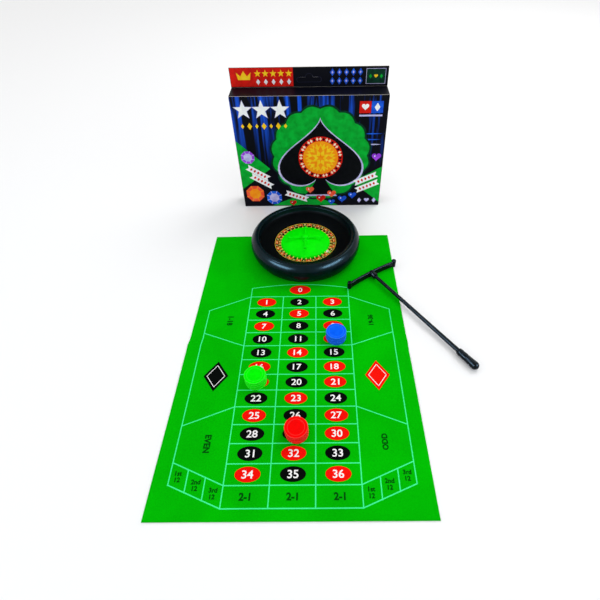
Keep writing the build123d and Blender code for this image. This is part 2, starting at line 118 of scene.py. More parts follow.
class Look:
    """The nodes of a material or a world, up to the shader at their end. A socket takes a number,
    a hex colour or another node's output; as a keyword, its name has _ for a space."""

    def __init__(self, owner, end="Principled BSDF", **sockets):
        owner.use_nodes = True
        self.owner, self.tree = owner, owner.node_tree
        self.end = self.tree.nodes[end]
        self.set(**sockets)

    def fill(self, node, sockets):
        """Sets or links sockets of a node."""
        for key, value in sockets.items():
            if isinstance(value, bpy.types.NodeSocket):
                self.tree.links.new(value, node.inputs[key])
            else:
                node.inputs[key].default_value = linear(value) if isinstance(value, str) else value
        return node

    def set(self, **sockets):
        """Sets or links sockets of the shader."""
        self.fill(self.end, {key.replace("_", " "): value for key, value in sockets.items()})

    def add(self, kind, sockets=(), output=0, **settings):
        """Adds a node with its properties and sockets, and gives one of its outputs."""
        node = self.tree.nodes.new("ShaderNode" + kind)
        for key, value in settings.items():
            setattr(node, key, value)
        return self.fill(node, dict(sockets)).outputs[output]

    def maths(self, operation, a, b=0.5):
        return self.add("Math", {0: a, 1: b}, operation=operation)

    def remap(self, value, low, high, to_low=0, to_high=1):
        """Carries low..high to to_low..to_high, and goes no further at either end."""
        ends = {"From Min": low, "From Max": high, "To Min": to_low, "To Max": to_high}
        return self.add("MapRange", {"Value": value, **ends})

    def blend(self, share, a, b):
        """Colour a where share is 0, b where it is 1, and a mix in between."""
        return self.add("Mix", {"Factor": share, "A": a, "B": b}, "Result", data_type="RGBA")

    def noise(self, spacing_mm, detail=3, stretch=(1, 1, 1)):
        """Noise whose blobs are about spacing_mm apart, longer along an axis with a small stretch."""
        place = self.add("TexCoord", output="Object")
        place = self.add("Mapping", {"Vector": place, "Scale": stretch})
        return self.add("TexNoise", {"Vector": place, "Scale": 1 / (spacing_mm * MM), "Detail": detail})

    def vary(self, factor, dark, light, low=0.3, high=0.7):
        """Base colour that goes from dark to light as factor goes from low to high."""
        colour = self.blend(self.remap(factor, low, high), dark, light)
        self.set(Base_Color=colour)
        return colour

    def roughen(self, factor, low, high):
        """Roughness that goes from low to high with factor."""
        self.set(Roughness=self.remap(factor, 0, 1, low, high))

    def emboss(self, factor, depth_mm, strength):
        """Bump of a real depth from factor."""
        sockets = {"Height": factor, "Distance": depth_mm * MM, "Strength": strength}
        self.set(Normal=self.add("Bump", sockets))


def new_look(name, roughness, shine=0.5, **sockets):
    """The look of a new material; shine is the strength of its reflections."""
    return Look(bpy.data.materials.new(name), Roughness=roughness, Specular_IOR_Level=shine, **sockets)


def two_tone(name, light, dark, roughness, shine, spacing_mm, detail=3, stretch=(1, 1, 1), **sockets):
    """A material that drifts between two close shades, and the noise that its colour follows."""
    look = new_look(name, roughness, shine, **sockets)
    cloud = look.noise(spacing_mm, detail, stretch)
    look.vary(cloud, dark, light)
    return look, cloud


print("helpers: colour, nodes and two-tone materials")

# %% [markdown]
# The room is a pale floor and backdrop that show as white to the camera and in reflections,
# and a soft light from all round. The key light hangs behind and to the right, so the shadows
# of the rake and the wheel fall towards the viewer's left. Two smaller panels stand to the
# front left and front right, and a small one high on the left: they don't light the mat, but
# black plastic mirrors them, as soft patches on the wheel's rim and a thin line along the rake.

# %% Floor, backdrop and world
scene.view_settings.view_transform = "Standard"
floor_size, room_light, lit_place = 6, 0.88, Vector((0, 0.05, 0))
floor_paint = new_look("painted_backdrop", 0.9, Base_Color="#F7F7F7")
floor_corners = np.array([(-1, -1, 0), (1, -1, 0), (1, 1, 0), (-1, 1, 0)]) * floor_size / 2
floor_mesh = bpy.data.meshes.new("floor")
floor_mesh.from_pydata(floor_corners.tolist(), [], [(0, 1, 2, 3)])
floor_mesh.materials.append(floor_paint.owner)
floor = placed("floor", floor_mesh)

# The world is brighter for rays from the camera, also mirrored or let through, than for the light
# that falls on things.
scene.world = bpy.data.worlds.new("soft_room")
room = Look(scene.world, "Background", Color="#FFFFFF")
seen = room.add("LightPath", output="Is Camera Ray")
for ray in ("Is Glossy Ray", "Is Transmission Ray"):
    seen = room.maths("MAXIMUM", seen, room.add("LightPath", output=ray))
room.set(Strength=room.remap(seen, 0, 1, room_light, 1))

for name, place, size, power, colour in (
    ("key", (0.75, 0.85, 1.25), (0.8, 0.8), 7, "#FFFFFF"),
    ("left_panel", (-0.75, -0.45, 0.55), (0.75, 0.24), 34, "#D4E8FF"),
    ("right_panel", (0.80, -0.40, 0.55), (0.75, 0.24), 34, "#D4E8FF"),
    ("high_panel", (-0.65, 0.10, 0.95), (0.22, 0.22), 6, "#D4E8FF"),
):
    data = bpy.data.lights.new(name, "AREA")
    data.shape, data.energy, data.color = "RECTANGLE", power, linear(colour)[:3]
    data.size, data.size_y = size
    light = placed(name, data)
    light.location = place
    light.rotation_euler = (lit_place - Vector(place)).to_track_quat("-Z", "Y").to_euler()
    light.visible_diffuse = name == "key"
print("room: floor", floor_size, "m, four panel lights")

# %% [markdown]
# Most pieces here are surfaces worked out on a grid: two parameters run along its rows and
# columns, a formula gives a point for each pair, and the faces join neighbours. These helpers
# number the faces, round the corners of an outline, turn a profile round an axis, and make
# the mesh into a piece that rides on a body of the frame.


# %% Curves and outlines
def unit(vectors):
    """Each vector divided by its length."""
    return vectors / np.linalg.norm(vectors, axis=-1, keepdims=True)


def polar(radius, angle):
    """Points (radius cos(angle), radius sin(angle))."""
    return np.stack([radius * np.cos(angle), radius * np.sin(angle)], axis=-1)


def full_turn(steps):
    """Evenly spaced angles from 0 up to a full turn, without the turn itself."""
    return np.linspace(0, 2 * np.pi, steps, endpoint=False)


def rounded(corners, radii, steps=5):
    """Closed outline with an arc at each corner. An arc of radius r starts r / tan(a) from a
    corner whose half angle is a, and its centre is r / sin(a) away, on the bisector."""
    p = np.asarray(corners, float)
    r = np.broadcast_to(np.asarray(radii, float), len(p))[:, None]
    back, ahead = (unit(np.roll(p, shift, axis=0) - p) for shift in (1, -1))
    half = np.arccos(np.clip((back * ahead).sum(1), -1, 1))[:, None] / 2
    centre = p + unit(back + ahead) * r / np.sin(half)
    start, end = (p + side * r / np.tan(half) - centre for side in (back, ahead))
    first, last = (np.arctan2(v[:, 1:], v[:, :1]) for v in (start, end))
    sweep = (last - first + np.pi) % (2 * np.pi) - np.pi
    return (centre[:, None] + polar(r, first + sweep * np.linspace(0, 1, steps))).reshape(-1, 2)


def arc_through(start, middle, end, steps):
    """Arc through three points: its centre is as far from all three."""
    a, b, c = (np.asarray(v, float) for v in (start, middle, end))
    sides = np.array([b - a, c - a])
    centre = a + np.linalg.solve(2 * sides, (sides**2).sum(1))
    turns = np.unwrap([np.arctan2(*(v - centre)[::-1]) for v in (a, b, c)])
    return centre + polar(np.linalg.norm(a - centre), np.linspace(turns[0], turns[2], steps))


def smooth_line(points, steps):
    """Curve through the points: between two of them, a cubic whose slopes come from the
    points on either side."""
    p = np.asarray(points, float)
    slope = np.gradient(p, axis=0)
    t = np.linspace(0, len(p) - 1, steps)
    i = np.clip(t.astype(int), 0, len(p) - 2)
    s = (t - i)[:, None]
    start, end = (2 * s**3 - 3 * s**2 + 1) * p[i], (3 * s**2 - 2 * s**3) * p[i + 1]
    return start + end + (s**3 - 2 * s**2 + s) * slope[i] + (s**3 - s**2) * slope[i + 1]


def left_of(path):
    """Unit vectors to the left of a flat path, one at each point."""
    slope = np.gradient(np.asarray(path, float), axis=0)
    return unit(np.stack([-slope[:, 1], slope[:, 0]], axis=-1))


def turned_axes(angle):
    """The three axes as rows, turned about the vertical one."""
    c, s = np.cos(angle), np.sin(angle)
    return np.array([(c, s, 0), (-s, c, 0), (0, 0, 1)])


def moved(outline, u, v, size=1, turn=0):
    """Flat outline scaled, turned by an angle in degrees and moved."""
    return np.asarray(outline, float) * size @ turned_axes(np.radians(turn))[:2, :2] + np.array([u, v])


print("curves: rounded outlines, arcs and smooth lines")


# %% Mesh helpers
def grid_faces(rows, columns, wrap_rows=False, wrap_columns=False):
    """Corners of each quad of a grid; a wrapped side joins its last line to its first."""
    r = np.arange(rows if wrap_rows else rows - 1)[:, None]
    c = np.arange(columns if wrap_columns else columns - 1)[None, :]
    r_next, c_next = (r + 1) % rows, (c + 1) % columns
    corners = [r * columns + c, r * columns + c_next, r_next * columns + c_next, r_next * columns + c]
    return np.stack(np.broadcast_arrays(*corners), axis=-1).reshape(-1, 4)


def around(centre, radius, angle, height, axes=turned_axes(0)):
    """Points in metres: centre + radius cos(angle) X + radius sin(angle) Y + height Z, where the
    rows of axes are X, Y and Z, and radius and height are in millimetres."""
    spots = np.broadcast_arrays(radius * np.cos(angle), radius * np.sin(angle), height)
    return np.asarray(centre) + np.stack(spots, axis=-1) @ axes * MM


def turned(profile, centre, segments, closed=True, axes=turned_axes(0)):
    """Points and faces of a profile of (radius, height) carried round the third of the axes."""
    profile = np.asarray(profile, float)
    points = around(centre, profile[:, :1], full_turn(segments), profile[:, 1:], axes)
    return points, grid_faces(len(profile), segments, closed, True)


def flat_ended(rings):
    """Faces of a bar given as rings of points; the first and last ring close its ends."""
    rows, columns = rings.shape[:2]
    number = np.arange(rows * columns).reshape(rows, columns).tolist()
    return grid_faces(rows, columns, False, True).tolist() + [number[0], number[-1][::-1]]


def joined(*parts):
    """Several (points, faces) as one."""
    points, faces, count = [], [], 0
    for part_points, part_faces in parts:
        points.append(np.asarray(part_points, float).reshape(-1, 3))
        faces += [[corner + count for corner in face] for face in part_faces]
        count += len(points[-1])
    return np.concatenate(points), faces


def finished(name, shape, body, materials, replaced=(), face_material=None, crease=40, painted_highlight_share=None):
    """Makes the mesh of (points, faces), merges its doubles and lets the piece ride on a body. A
    solid's faces are turned outwards, and its edges are sharp where they turn by more than crease
    degrees, so flats stay flat in the shading; without a crease the piece is flat print."""
    points, faces = shape
    mesh = bpy.data.meshes.new(name)
    mesh.from_pydata(np.asarray(points, float).reshape(-1, 3).tolist(), [], [list(f) for f in faces])
    for material in materials:
        mesh.materials.append(material)
    if face_material is not None:
        mesh.polygons.foreach_set("material_index", np.asarray(face_material, np.int32))
    mesh.polygons.foreach_set("use_smooth", np.full(len(mesh.polygons), bool(crease)))
    # A share stored on the points, such as the chips' painted highlight, is read by the material.
    if painted_highlight_share is not None:
        stored = mesh.attributes.new("painted_highlight_share", "FLOAT", "POINT")
        stored.data.foreach_set("value", painted_highlight_share.astype(np.float32))
    work = bmesh.new()
    work.from_mesh(mesh)
    bmesh.ops.remove_doubles(work, verts=work.verts, dist=merge_distance)
    if crease:
        bmesh.ops.recalc_face_normals(work, faces=work.faces)
        work.normal_update()
        for edge in work.edges:
            edge.smooth = bool(edge.calc_face_angle(np.pi) < np.radians(crease))
    work.to_mesh(mesh)
    work.free()
    mesh.validate(clean_customdata=False)
    piece = placed(name, mesh)
    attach(piece, body)
    if replaced:
        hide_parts(*replaced)
    return piece


merge_distance = 1e-7
print("mesh helpers: grids, turned profiles and bars")

# %% [markdown]
# ## The play mat
#
# The mat is a sheet of needle-punched felt about a millimetre thick. It is stored folded, so a
# groove stays across its middle, its edge has a small jog there, and the felt rises in low
# ripples where nothing weighs it down. All of that is one function of x and y, in millimetres,
# because the print has to lie on exactly the same surface.


# %% Where things stand
def box_of(node):
    """Low and high corner of a node's box, in millimetres."""
    return np.array([np.array(corner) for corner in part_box(node)]) / MM


half_width, half_length, felt_top = box_of("betting_mat")[1]
bowl_box = box_of("bowl_shell")
wheel_x, wheel_y = bowl_box.mean(0)[:2]
chip_radius = 11.0
chip_places = {colour: box_of(f"chip_top_{colour}").mean(0)[:2] for colour in ("blue", "green", "red")}
weights = [(wheel_x, wheel_y, np.ptp(bowl_box[:, 0]) / 2)]
weights += [(x, y, chip_radius) for x, y in chip_places.values()]
print("mat", 2 * half_width, "x", 2 * half_length, "mm; wheel at", round(wheel_x, 1), round(wheel_y, 1))

# %% The mat's surface
fold_y, fold_depth, fold_half_width = -3.5, 0.34, 1.5
fold_jog, jog_half_width, half_shift, shift_width = 0.5, 5, 0.9, 1.2
ripple_height, ripple_margin = 0.38, 14.0


def mat_surface(x, y):
    """Height of the mat's top: flat, minus a groove depth / (1 + (distance / width)^2) at the
    fold, plus a sum of long sine ripples that fade to nothing under what stands on the mat."""
    groove = fold_depth / (1 + ((y - fold_y) / fold_half_width) ** 2)
    ripple = np.sin(x / 33 + 0.8) * np.sin(y / 41 - 0.4) + 0.6 * np.sin((x + 1.4 * y) / 29)
    ripple += 0.5 * np.sin((1.6 * x - y) / 23 + 2)
    free = 1.0
    for place_x, place_y, radius in weights:
        away = (np.hypot(x - place_x, y - place_y) - radius) / ripple_margin
        free = free * np.clip(away, 0, 1) ** 2
    return felt_top - groove + ripple_height * 0.5 * ripple * free


def lie_on_mat(points, lift):
    """Flat points in millimetres, laid on the mat, lifted a little and in metres. Near the fold
    the sheet's edges move out by a bump, and its left edge by a step."""
    x, y = points[..., 0], points[..., 1]
    bulge = np.exp(-(((y - fold_y) / jog_half_width) ** 2))
    shift = fold_jog * bulge + half_shift * (x < 0) / (1 + np.exp((y - fold_y) / shift_width))
    return np.stack([x + shift * (x / half_width) ** 3, y, mat_surface(x, y) + lift], axis=-1) * MM


print("fold", fold_depth, "mm deep at y =", fold_y)

# %% [markdown]
# Felt is a tangle of matt fibres. Its colour varies a little from patch to patch, and in fine
# flecks of about half a millimetre, which is as coarse as it takes to show. The printed inks
# sink into the same fibres, so they share its roughness and its bump.


# %% Felt and the inks printed on it
def felt_material(name, light, dark):
    """Needle-punched felt, dyed or printed, or its cut edge in painted shade: its colour follows the mean of
    fine and coarse noise.
    """
    look = new_look(name, 0.95, 0.01)
    fibres = look.noise(0.7, detail=4)
    both = look.maths("ADD", fibres, look.noise(55, detail=2))
    look.vary(look.maths("MULTIPLY", both, 0.5), dark, light, 0.38, 0.62)
    look.emboss(fibres, 0.12, 0.5)
    return look.owner


felts = [felt_material("needle_felt_green", "#00C000", "#00AC00")]
# The sheet's thin cut edge is painted a darker green: painted shade on its side faces.
felts.append(felt_material("needle_felt_edge_painted_shade", "#006A28", "#004E1C"))
felt_inks = {}
for layer, colour, light, dark in (
    ("lines", "mint", "#48FFA0", "#3CF092"),
    ("red", "red", "#FF1408", "#EE0C04"),
    ("black", "black", "#030504", "#070A08"),
    ("figures", "white", "#FFFFFF", "#F4F4F4"),
    ("words", "dark_green", "#005206", "#004608"),
):
    felt_inks[layer] = felt_material(f"felt_print_{colour}", light, dark)
print("felt, its cut edge and", len(felt_inks), "inks")

# %% The mat itself
felt_thickness, edge_radius, table_gap = 0.95, 0.3, 0.02
coarse_step, fine_step, fine_reach, least_gap = 2.5, 0.5, 6, 0.2


def stations(half, fine_at=()):
    """Places across the sheet, coarse_step apart and fine_step apart near each fine_at, with two
    more lines where each edge rounds off."""
    places = [np.linspace(-half, half, round(2 * half / coarse_step) + 1)]
    places += [np.arange(at - fine_reach, at + fine_reach, fine_step) for at in fine_at]
    places = np.unique(np.round(np.concatenate(places), 3))
    places = places[np.diff(places, prepend=-2 * half) > least_gap]
    near_edge = half - edge_radius * np.array([0.1, 0.4])
    return np.unique(np.concatenate([places, near_edge, -near_edge]))


def rim_drop(x, y):
    """How far the sheet's face drops at its cut edge, by a quarter circle: r - sqrt(r^2 - d^2)."""
    inside = np.minimum(half_width - np.abs(x), half_length - np.abs(y))
    d = np.clip(edge_radius - inside, 0, edge_radius)
    return (edge_radius - np.sqrt(edge_radius**2 - d**2)) * MM


flat = np.stack(np.meshgrid(stations(half_width), stations(half_length, [fold_y]), indexing="ij"), axis=-1)
drop = rim_drop(flat[..., 0], flat[..., 1])
top_points, bottom_points = lie_on_mat(flat, 0), lie_on_mat(flat, -felt_thickness)
bottom_points[..., 2] = np.maximum(bottom_points[..., 2], table_gap * MM) + drop
top_points[..., 2] -= drop
mat_faces = grid_faces(*drop.shape)
number = np.arange(drop.size).reshape(drop.shape)
border = np.concatenate([number[:-1, 0], number[-1, :-1], number[:0:-1, -1], number[0, :0:-1]])
next_border = np.roll(border, -1)
side_faces = np.stack([border, next_border, next_border + drop.size, border + drop.size], axis=-1)
mat_shape = (
    np.stack([top_points, bottom_points]),
    np.concatenate([mat_faces, mat_faces[:, ::-1] + drop.size, side_faces]),
)
# The side faces take the second felt, the darker painted shade of the cut edge.
cut = [0] * 2 * len(mat_faces) + [1] * len(side_faces)
play_mat = finished("play_mat", mat_shape, "mat", felts, ["betting_mat"], cut, crease=50)
print("play mat:", len(play_mat.data.polygons), "faces")

# %% [markdown]
# The layout is printed on a grid of three columns and twelve rows, with a field for zero above,
# three columns of outside bets below, and a long six-sided field on each side. Lines are given
# in columns and rows of that grid, and each becomes a ribbon of ink a millimetre wide.

# %% Lines of the layout
column_pitch, row_pitch, first_line_y = 39.3, 18.56, 66.1
number_columns, number_rows = 3, 12
line_width, line_lift, line_step, oval_lift, glyph_lift = 1, 0.04, 0.0015, 0.08, 0.12
side, field = number_columns / 2, 2.69
zero_corner, zero_shoulder, zero_top = -0.79, (0.75, -1.03), -1.13


def on_grid(spots):
    """Places in millimetres of points counted in columns from the middle and rows from the top."""
    return np.asarray(spots, float) * [column_pitch, -row_pitch] + [0, first_line_y]


def strip(path, width):
    """Points and faces of a flat strip of the given width along a path."""
    across = left_of(path) * width / 2
    return np.stack([path - across, path + across], axis=1), grid_faces(len(path), 2)[:, ::-1]


def ribbon(start, end, width, step=0.8):
    """Straight strip from start to end, longer by half its width at both ends."""
    length = np.linalg.norm(end - start)
    t = np.linspace(-width / 2, length + width / 2, int(length / step) + 2)[:, None]
    return strip(start + (end - start) / length * t, width)


segments = [(-side, row, side, row) for row in range(number_rows + 2)]
segments += [(x, 0, x, number_rows + 1) for x in (-0.5, 0.5)]
right_segments = [(side, zero_corner, side, number_rows + 1), (side, 0, field, 1.17)]
right_segments += [(field, 1.17, field, 11.97), (side, 4, field, 3.03), (side, 8, field, 9.05)]
right_segments += [(side, 12, field, 10.93), (side, 13, field, 11.97)]
right_segments += [(1.91, 11.64, 1.91, 12.66), (2.31, 11.28, 2.31, 12.31)]
segments += [(flip * x, row, flip * u, end_row) for flip in (-1, 1) for x, row, u, end_row in right_segments]
strips = [ribbon(*on_grid([(x, row), (u, end_row)]), line_width) for x, row, u, end_row in segments]
right_top = np.array([zero_shoulder, (side, zero_corner)])
zero_line = on_grid([*(right_top * [-1, 1])[::-1], (0, zero_top), *right_top])
strips.append(strip(smooth_line(zero_line, 25), line_width))
lines = [(lie_on_mat(points, line_lift + k * line_step), faces) for k, (points, faces) in enumerate(strips)]
print("layout lines:", len(lines), "strips")

# %% [markdown]
# Each number stands in an oval of red or black ink, and a diamond fills the middle of each
# side field. The letters and figures are Blender text, made heavier with an outline offset,
# turned into a mesh and laid flat on the felt.

# %% Ovals, diamonds and glyphs
red_numbers = {1, 3, 5, 7, 9, 12, 14, 16, 18, 19, 21, 23, 25, 27, 30, 32, 34, 36}
oval_half, zero_half, zero_place = (11.3, 6.75), (12.9, 7.6), (0.3, 77.4)
diamond_half, diamond_rim, diamond_line, diamond_x, diamond_y = (12.6, 18), 0.72, 0.62, 82.9, -47.0


def disc(centre, half_axes, corners=56, rings=9):
    """Flat oval as a grid of rings; the innermost ring shrinks to its centre."""
    share = np.linspace(0, 1, rings + 1)[:, None, None]
    points = np.asarray(centre) + share * polar(1, full_turn(corners)) * half_axes
    return points, grid_faces(rings + 1, corners, False, True)


def diamond(centre, half_axes, steps=17):
    """Flat diamond as a grid between its four corners."""
    u, v = np.meshgrid(np.linspace(-1, 1, steps), np.linspace(-1, 1, steps), indexing="ij")
    return np.stack([u - v, u + v], -1) / 2 * half_axes + centre, grid_faces(steps, steps)


def glyphs(text, height, place=(0, 0), turn=0, weight=0, stretch=1, edge_limit=0.9):
    """Flat text as (points, faces): its figures are height tall, centred on place and turned by
    the angle in degrees. Long edges are halved until they can follow the felt's surface."""
    body = bpy.data.curves.new("glyphs", "FONT")
    body.body, body.offset, body.resolution_u = text, weight, 5
    holder = bpy.data.objects.new("glyphs", body)
    mesh = bpy.data.meshes.new_from_object(holder)
    work = bmesh.new()
    work.from_mesh(mesh)
    longest = edge_limit / height * np.ptp([v.co.y for v in work.verts])
    for _ in range(3):
        bmesh.ops.triangulate(work, faces=work.faces)
        long_edges = [edge for edge in work.edges if edge.calc_length() > longest]
        bmesh.ops.subdivide_edges(work, edges=long_edges, cuts=1)
    bmesh.ops.triangulate(work, faces=work.faces)
    work.verts.index_update()
    points = np.array([v.co[:2] for v in work.verts])
    faces = [[v.index for v in face.verts] for face in work.faces]
    work.free()
    bpy.data.batch_remove([holder, body, mesh])
    low, high = points.min(0), points.max(0)
    points = (points - (low + high) / 2) * height / (high - low)[1] * [stretch, 1]
    return moved(points, *place, 1, turn), faces


layers = {ink: [] for ink in felt_inks}
layers["lines"] = lines


def print_on_mat(ink, shape, lift):
    """Adds flat points and faces to what is printed in one ink."""
    layers[ink].append((lie_on_mat(shape[0], lift), shape[1]))


for number in range(number_columns * number_rows + 1):
    row, column = divmod(number - 1, number_columns)
    place = on_grid((column - 1, row + 0.5)) if number else zero_place
    ink = "red" if number in red_numbers or number == 0 else "black"
    print_on_mat(ink, disc(place, oval_half if number else zero_half), oval_lift)
    print_on_mat("figures", glyphs(str(number), 7.2, place, weight=0.014, stretch=1.08), glyph_lift)

for x, ink in ((-diamond_x, "black"), (diamond_x, "red")):
    print_on_mat(ink, diamond((x, diamond_y), diamond_half), oval_lift)
    tips = np.array([(1, 0), (0, 1), (-1, 0), (0, -1)]) * diamond_half * diamond_rim + (x, diamond_y)
    for start, end in zip(tips, np.roll(tips, -1, axis=0)):
        print_on_mat("figures", ribbon(start, end, diamond_line), glyph_lift)

words = [  # text, height, x, y, turn, weight, stretch
    ("EVEN", 5.9, -79, -119.5, -90, 0.035, 0.95),
    ("ODD", 5.5, 82.6, -118.6, 90, 0.035, 0.95),
    ("1-18", 6.6, -79, 28, -90, 0.035, 0.95),
    ("19-36", 6, 82.6, 28, 90, 0.035, 0.95),
]
words += [("2-1", 6.4, column * (column_pitch + 0.4), -165.8, 0, 0.035, 1) for column in (-1, 0, 1)]
dozen_places, half_dozen_gap = ((-98.6, -148.9), (-82.6, -156.2), (-66.8, -163)), 2.7
for dozen, (x, y), (far_x, far_y) in zip(("1st", "2nd", "3rd"), dozen_places, dozen_places[::-1]):
    for place_x, place_y in ((x, y), (-far_x, far_y)):
        for text, rise in ((dozen, half_dozen_gap), ("12", -half_dozen_gap)):
            words.append((text, 4.1, place_x, place_y + rise, 0, 0.03, 1))
for text, height, x, y, turn, weight, stretch in words:
    print_on_mat("words", glyphs(text, height, (x, y), turn, weight, stretch), glyph_lift)

for ink, parts in layers.items():
    finished(f"layout_{ink}", joined(*parts), "mat", [felt_inks[ink]], crease=None)
    print(f"layout_{ink}:", len(parts), "shapes")

# %% [markdown]
# ## The wheel
#
# The bowl is moulded in glossy black polystyrene as one thin shell: an outer side with a foot, a
# round roll on top, a thin lip, the ball track, a cone that leads the ball down, and a well for
# the rotor. Every round part of the wheel is a profile of (radius, height above the mat)
# turned round the wheel's axis.

# %% Plastics
wheel_centre = np.array([wheel_x, wheel_y, felt_top]) * MM


def plastic(name, light, dark, roughness, shine=0.5, spacing_mm=9, **sockets):
    """Injection-moulded plastic: two close shades and a faint unevenness of the gloss."""
    look, cloud = two_tone(name, light, dark, roughness, shine, spacing_mm, **sockets)
    look.roughen(cloud, roughness * 0.75, roughness * 1.3)
    look.emboss(look.noise(spacing_mm * 1.7, detail=1), 0.02, 0.4)
    return look.owner


bowl_plastic = plastic("moulded_polystyrene_black", "#04141A", "#020C10", 0.24, 0.12, Specular_Tint="#C0F0FF")
# The inside of the bowl has a satin finish that reflects little, and its colour is a darker, greyer copy of
# the bowl's black: painted shade inside the bowl.
track_plastic = plastic("satin_polystyrene_black_painted_shade", "#030608", "#020406", 0.45, 0.02)
rotor_plastic = plastic("moulded_polystyrene_rotor_black", "#08080A", "#030304", 0.35, 0.08)
green_plastic = plastic("moulded_polystyrene_green", "#00FF00", "#00F400", 0.45, 0.03)
fret_plastic = plastic("moulded_polystyrene_cream", "#FFE878", "#FFDC58", 0.35, 0.12)
print("wheel plastics: 5")

# %% Bowl
outer_points = [(66, 0), (66.4, 1.3), (69.8, 6), (71.9, 13.5), (71.3, 19.5), (69.2, 23.6), (66.2, 26.5)]
outer_side = smooth_line(outer_points + [(63.6, 26.9)], 34)
lip = arc_through((61.75, 26.15), (61.2, 26.2), (60.75, 25.75), 6)
inner_top = [(60.55, 24.6), (60.1, 21)]
track = arc_through((59.7, 20), (58.4, 18.4), (56.5, 17.6), 7)
cone_and_well = [(50, 15.1), (42.6, 12.6), (42.1, 12.2), (42.1, 4.7), (41.6, 4.2), (5.2, 4.2), (5, 4.4)]
post_and_seat = [(5, 6.8), (4.8, 7), (1.5, 7), (1.5, 2.4)]
underside = [(43.5, 2.4), (43.9, 2.8), (43.9, 10.9), (57, 15.8), (60.6, 17.4), (61.9, 20.5), (62.9, 24)]
inside_points = [(66.2, 24.2), (67.9, 22.2), (69.5, 18.8), (70.1, 13.5), (68.1, 6.9), (64.7, 1.6), (64.2, 0)]
glossy, satin = [outer_side, lip, inner_top], [track, cone_and_well, post_and_seat]
bowl_profile = np.concatenate(glossy + satin + [underside, [(64.6, 24.8)], smooth_line(inside_points, 20)])
satin_start, satin_end = len(np.concatenate(glossy)), len(np.concatenate(glossy + satin))
bowl_segments = 192
bowl_shape = turned(bowl_profile, wheel_centre, bowl_segments)
row = np.arange(len(bowl_shape[1])) // bowl_segments
# The track, cone and well take the darker satin copy, painted shade inside the bowl.
is_satin_and_shaded = (row >= satin_start) & (row < satin_end)
bowl_plastics = [bowl_plastic, track_plastic]
finished("wheel_bowl", bowl_shape, "wheel_base", bowl_plastics, ["bowl_shell"], is_satin_and_shaded)
print("bowl:", len(bowl_profile), "points in its profile,", len(row), "faces")

# %% [markdown]
# The rotor carries 37 pockets. A printed ring round them shows one cell for each pocket, in the
# usual order of a single-zero wheel, and each cell's figure is Blender text again, turned so
# that its foot points to the centre. The frets between the pockets are cream plastic.

# %% Rotor disc and labels
wheel_order = [0, 32, 15, 19, 4, 21, 2, 25, 17, 34, 6, 27, 13, 36, 11, 30, 8, 23, 10]
wheel_order += [5, 24, 16, 33, 1, 20, 14, 31, 9, 22, 18, 29, 7, 28, 12, 35, 3, 26]
pocket_count, first_pocket = len(wheel_order), 3
pitch = 2 * np.pi / pocket_count
label_inks = []
for row in (
    "red #E01A10 #C41008 0.5", "black #100C0A #080606 0.5", "green #04B432 #029A28 0.5",
    "cream #FFF0A0 #FFE67C 0.5", "gold #FFDC50 #F0C038 0.35", "maroon #2A0206 #180103 0.5",
):
    ink, light, dark, roughness = row.split()
    look, _ = two_tone(f"paper_label_{ink}", light, dark, float(roughness), 0.1, 1.6)
    look.emboss(look.noise(0.5), 0.01, 0.4)
    label_inks.append(look.owner)
RED, BLACK, GREEN, CREAM, GOLD, MAROON = range(len(label_inks))

rotor_edge, shelf_edge, pocket_edge = 41.2, 36.6, 32.0
pocket_floor, shelf_low, shelf_high, paper = 8.4, 10.8, 11.8, 0.25
hub = [(3.25, 7.7), (3.25, 13.4), (6.05, 13.4), (6.05, pocket_floor)]
rib = [(28.1, pocket_floor), (28.1, 10.6), (30.6, 10.6), (30.6, 9.85), (31.8, 9.85)]
shelf = [(31.8, pocket_floor), (shelf_edge, pocket_floor), (shelf_edge, shelf_low), (rotor_edge, shelf_high)]
under = [(rotor_edge, 6.8), (6.05, 6.8), (6.05, 7.7)]
disc_rounding = [0.1, 0.2, 0.3, 0.3, 0.1, 0.2, 0.1, 0.1, 0.1, 0.1, 0.2, 0.35, 0.45, 0.4, 0.3, 0.2]
disc_shape = turned(rounded(hub + rib + shelf + under, disc_rounding, 4), wheel_centre, 148)
finished("rotor_wheel", disc_shape, "rotor", [rotor_plastic], ["rotor_disc"], crease=50)


def label_ring(name, node, radii, heights, inks, steps=5):
    """Closed ring of label paper: a closed profile carried round, steps faces to a pocket. The ink
    of a face comes from its place in the profile and its pocket."""
    angle = -np.arange(pocket_count * steps) * pitch / steps
    points = around(wheel_centre, np.array(radii)[:, None], angle, np.array(heights)[:, None])
    faces = grid_faces(len(radii), len(angle), True, True)
    row, column = np.divmod(np.arange(len(faces)), len(angle))
    ink = np.broadcast_to(inks, (len(radii), pocket_count))[row, column // steps]
    finished(name, (points, faces), "rotor", label_inks, [node], ink, crease=None)


def shelf_height(radius):
    """Top of the label on the sloping shelf: low edge + (radius - its radius) * rise / width."""
    return shelf_low + (radius - shelf_edge) * (shelf_high - shelf_low) / (rotor_edge - shelf_edge) + paper


order_here = [wheel_order[(k - first_pocket) % pocket_count] for k in range(pocket_count)]
cell_ink = np.array([GREEN if n == 0 else RED if n in red_numbers else BLACK for n in order_here])
band = np.array([36.9, 37.1, 39.8, 40.4, 40.9, 40.9, 36.9])
band_heights = shelf_height(band) - paper * (np.arange(len(band)) > 4)
gold, maroon = (np.full(pocket_count, ink) for ink in (GOLD, MAROON))
band_ink = [gold, cell_ink, maroon, gold, gold, gold, gold]
label_ring("number_label", "number_ring", band, band_heights, band_ink)
floor_radii = np.array([pocket_edge + 0.1, shelf_edge - 0.3, shelf_edge - 0.3, pocket_edge + 0.1])
floor_heights = pocket_floor + paper * np.array([1, 1, 0, 0])
label_ring("pocket_label", "pocket_ring", floor_radii, floor_heights, cell_ink)

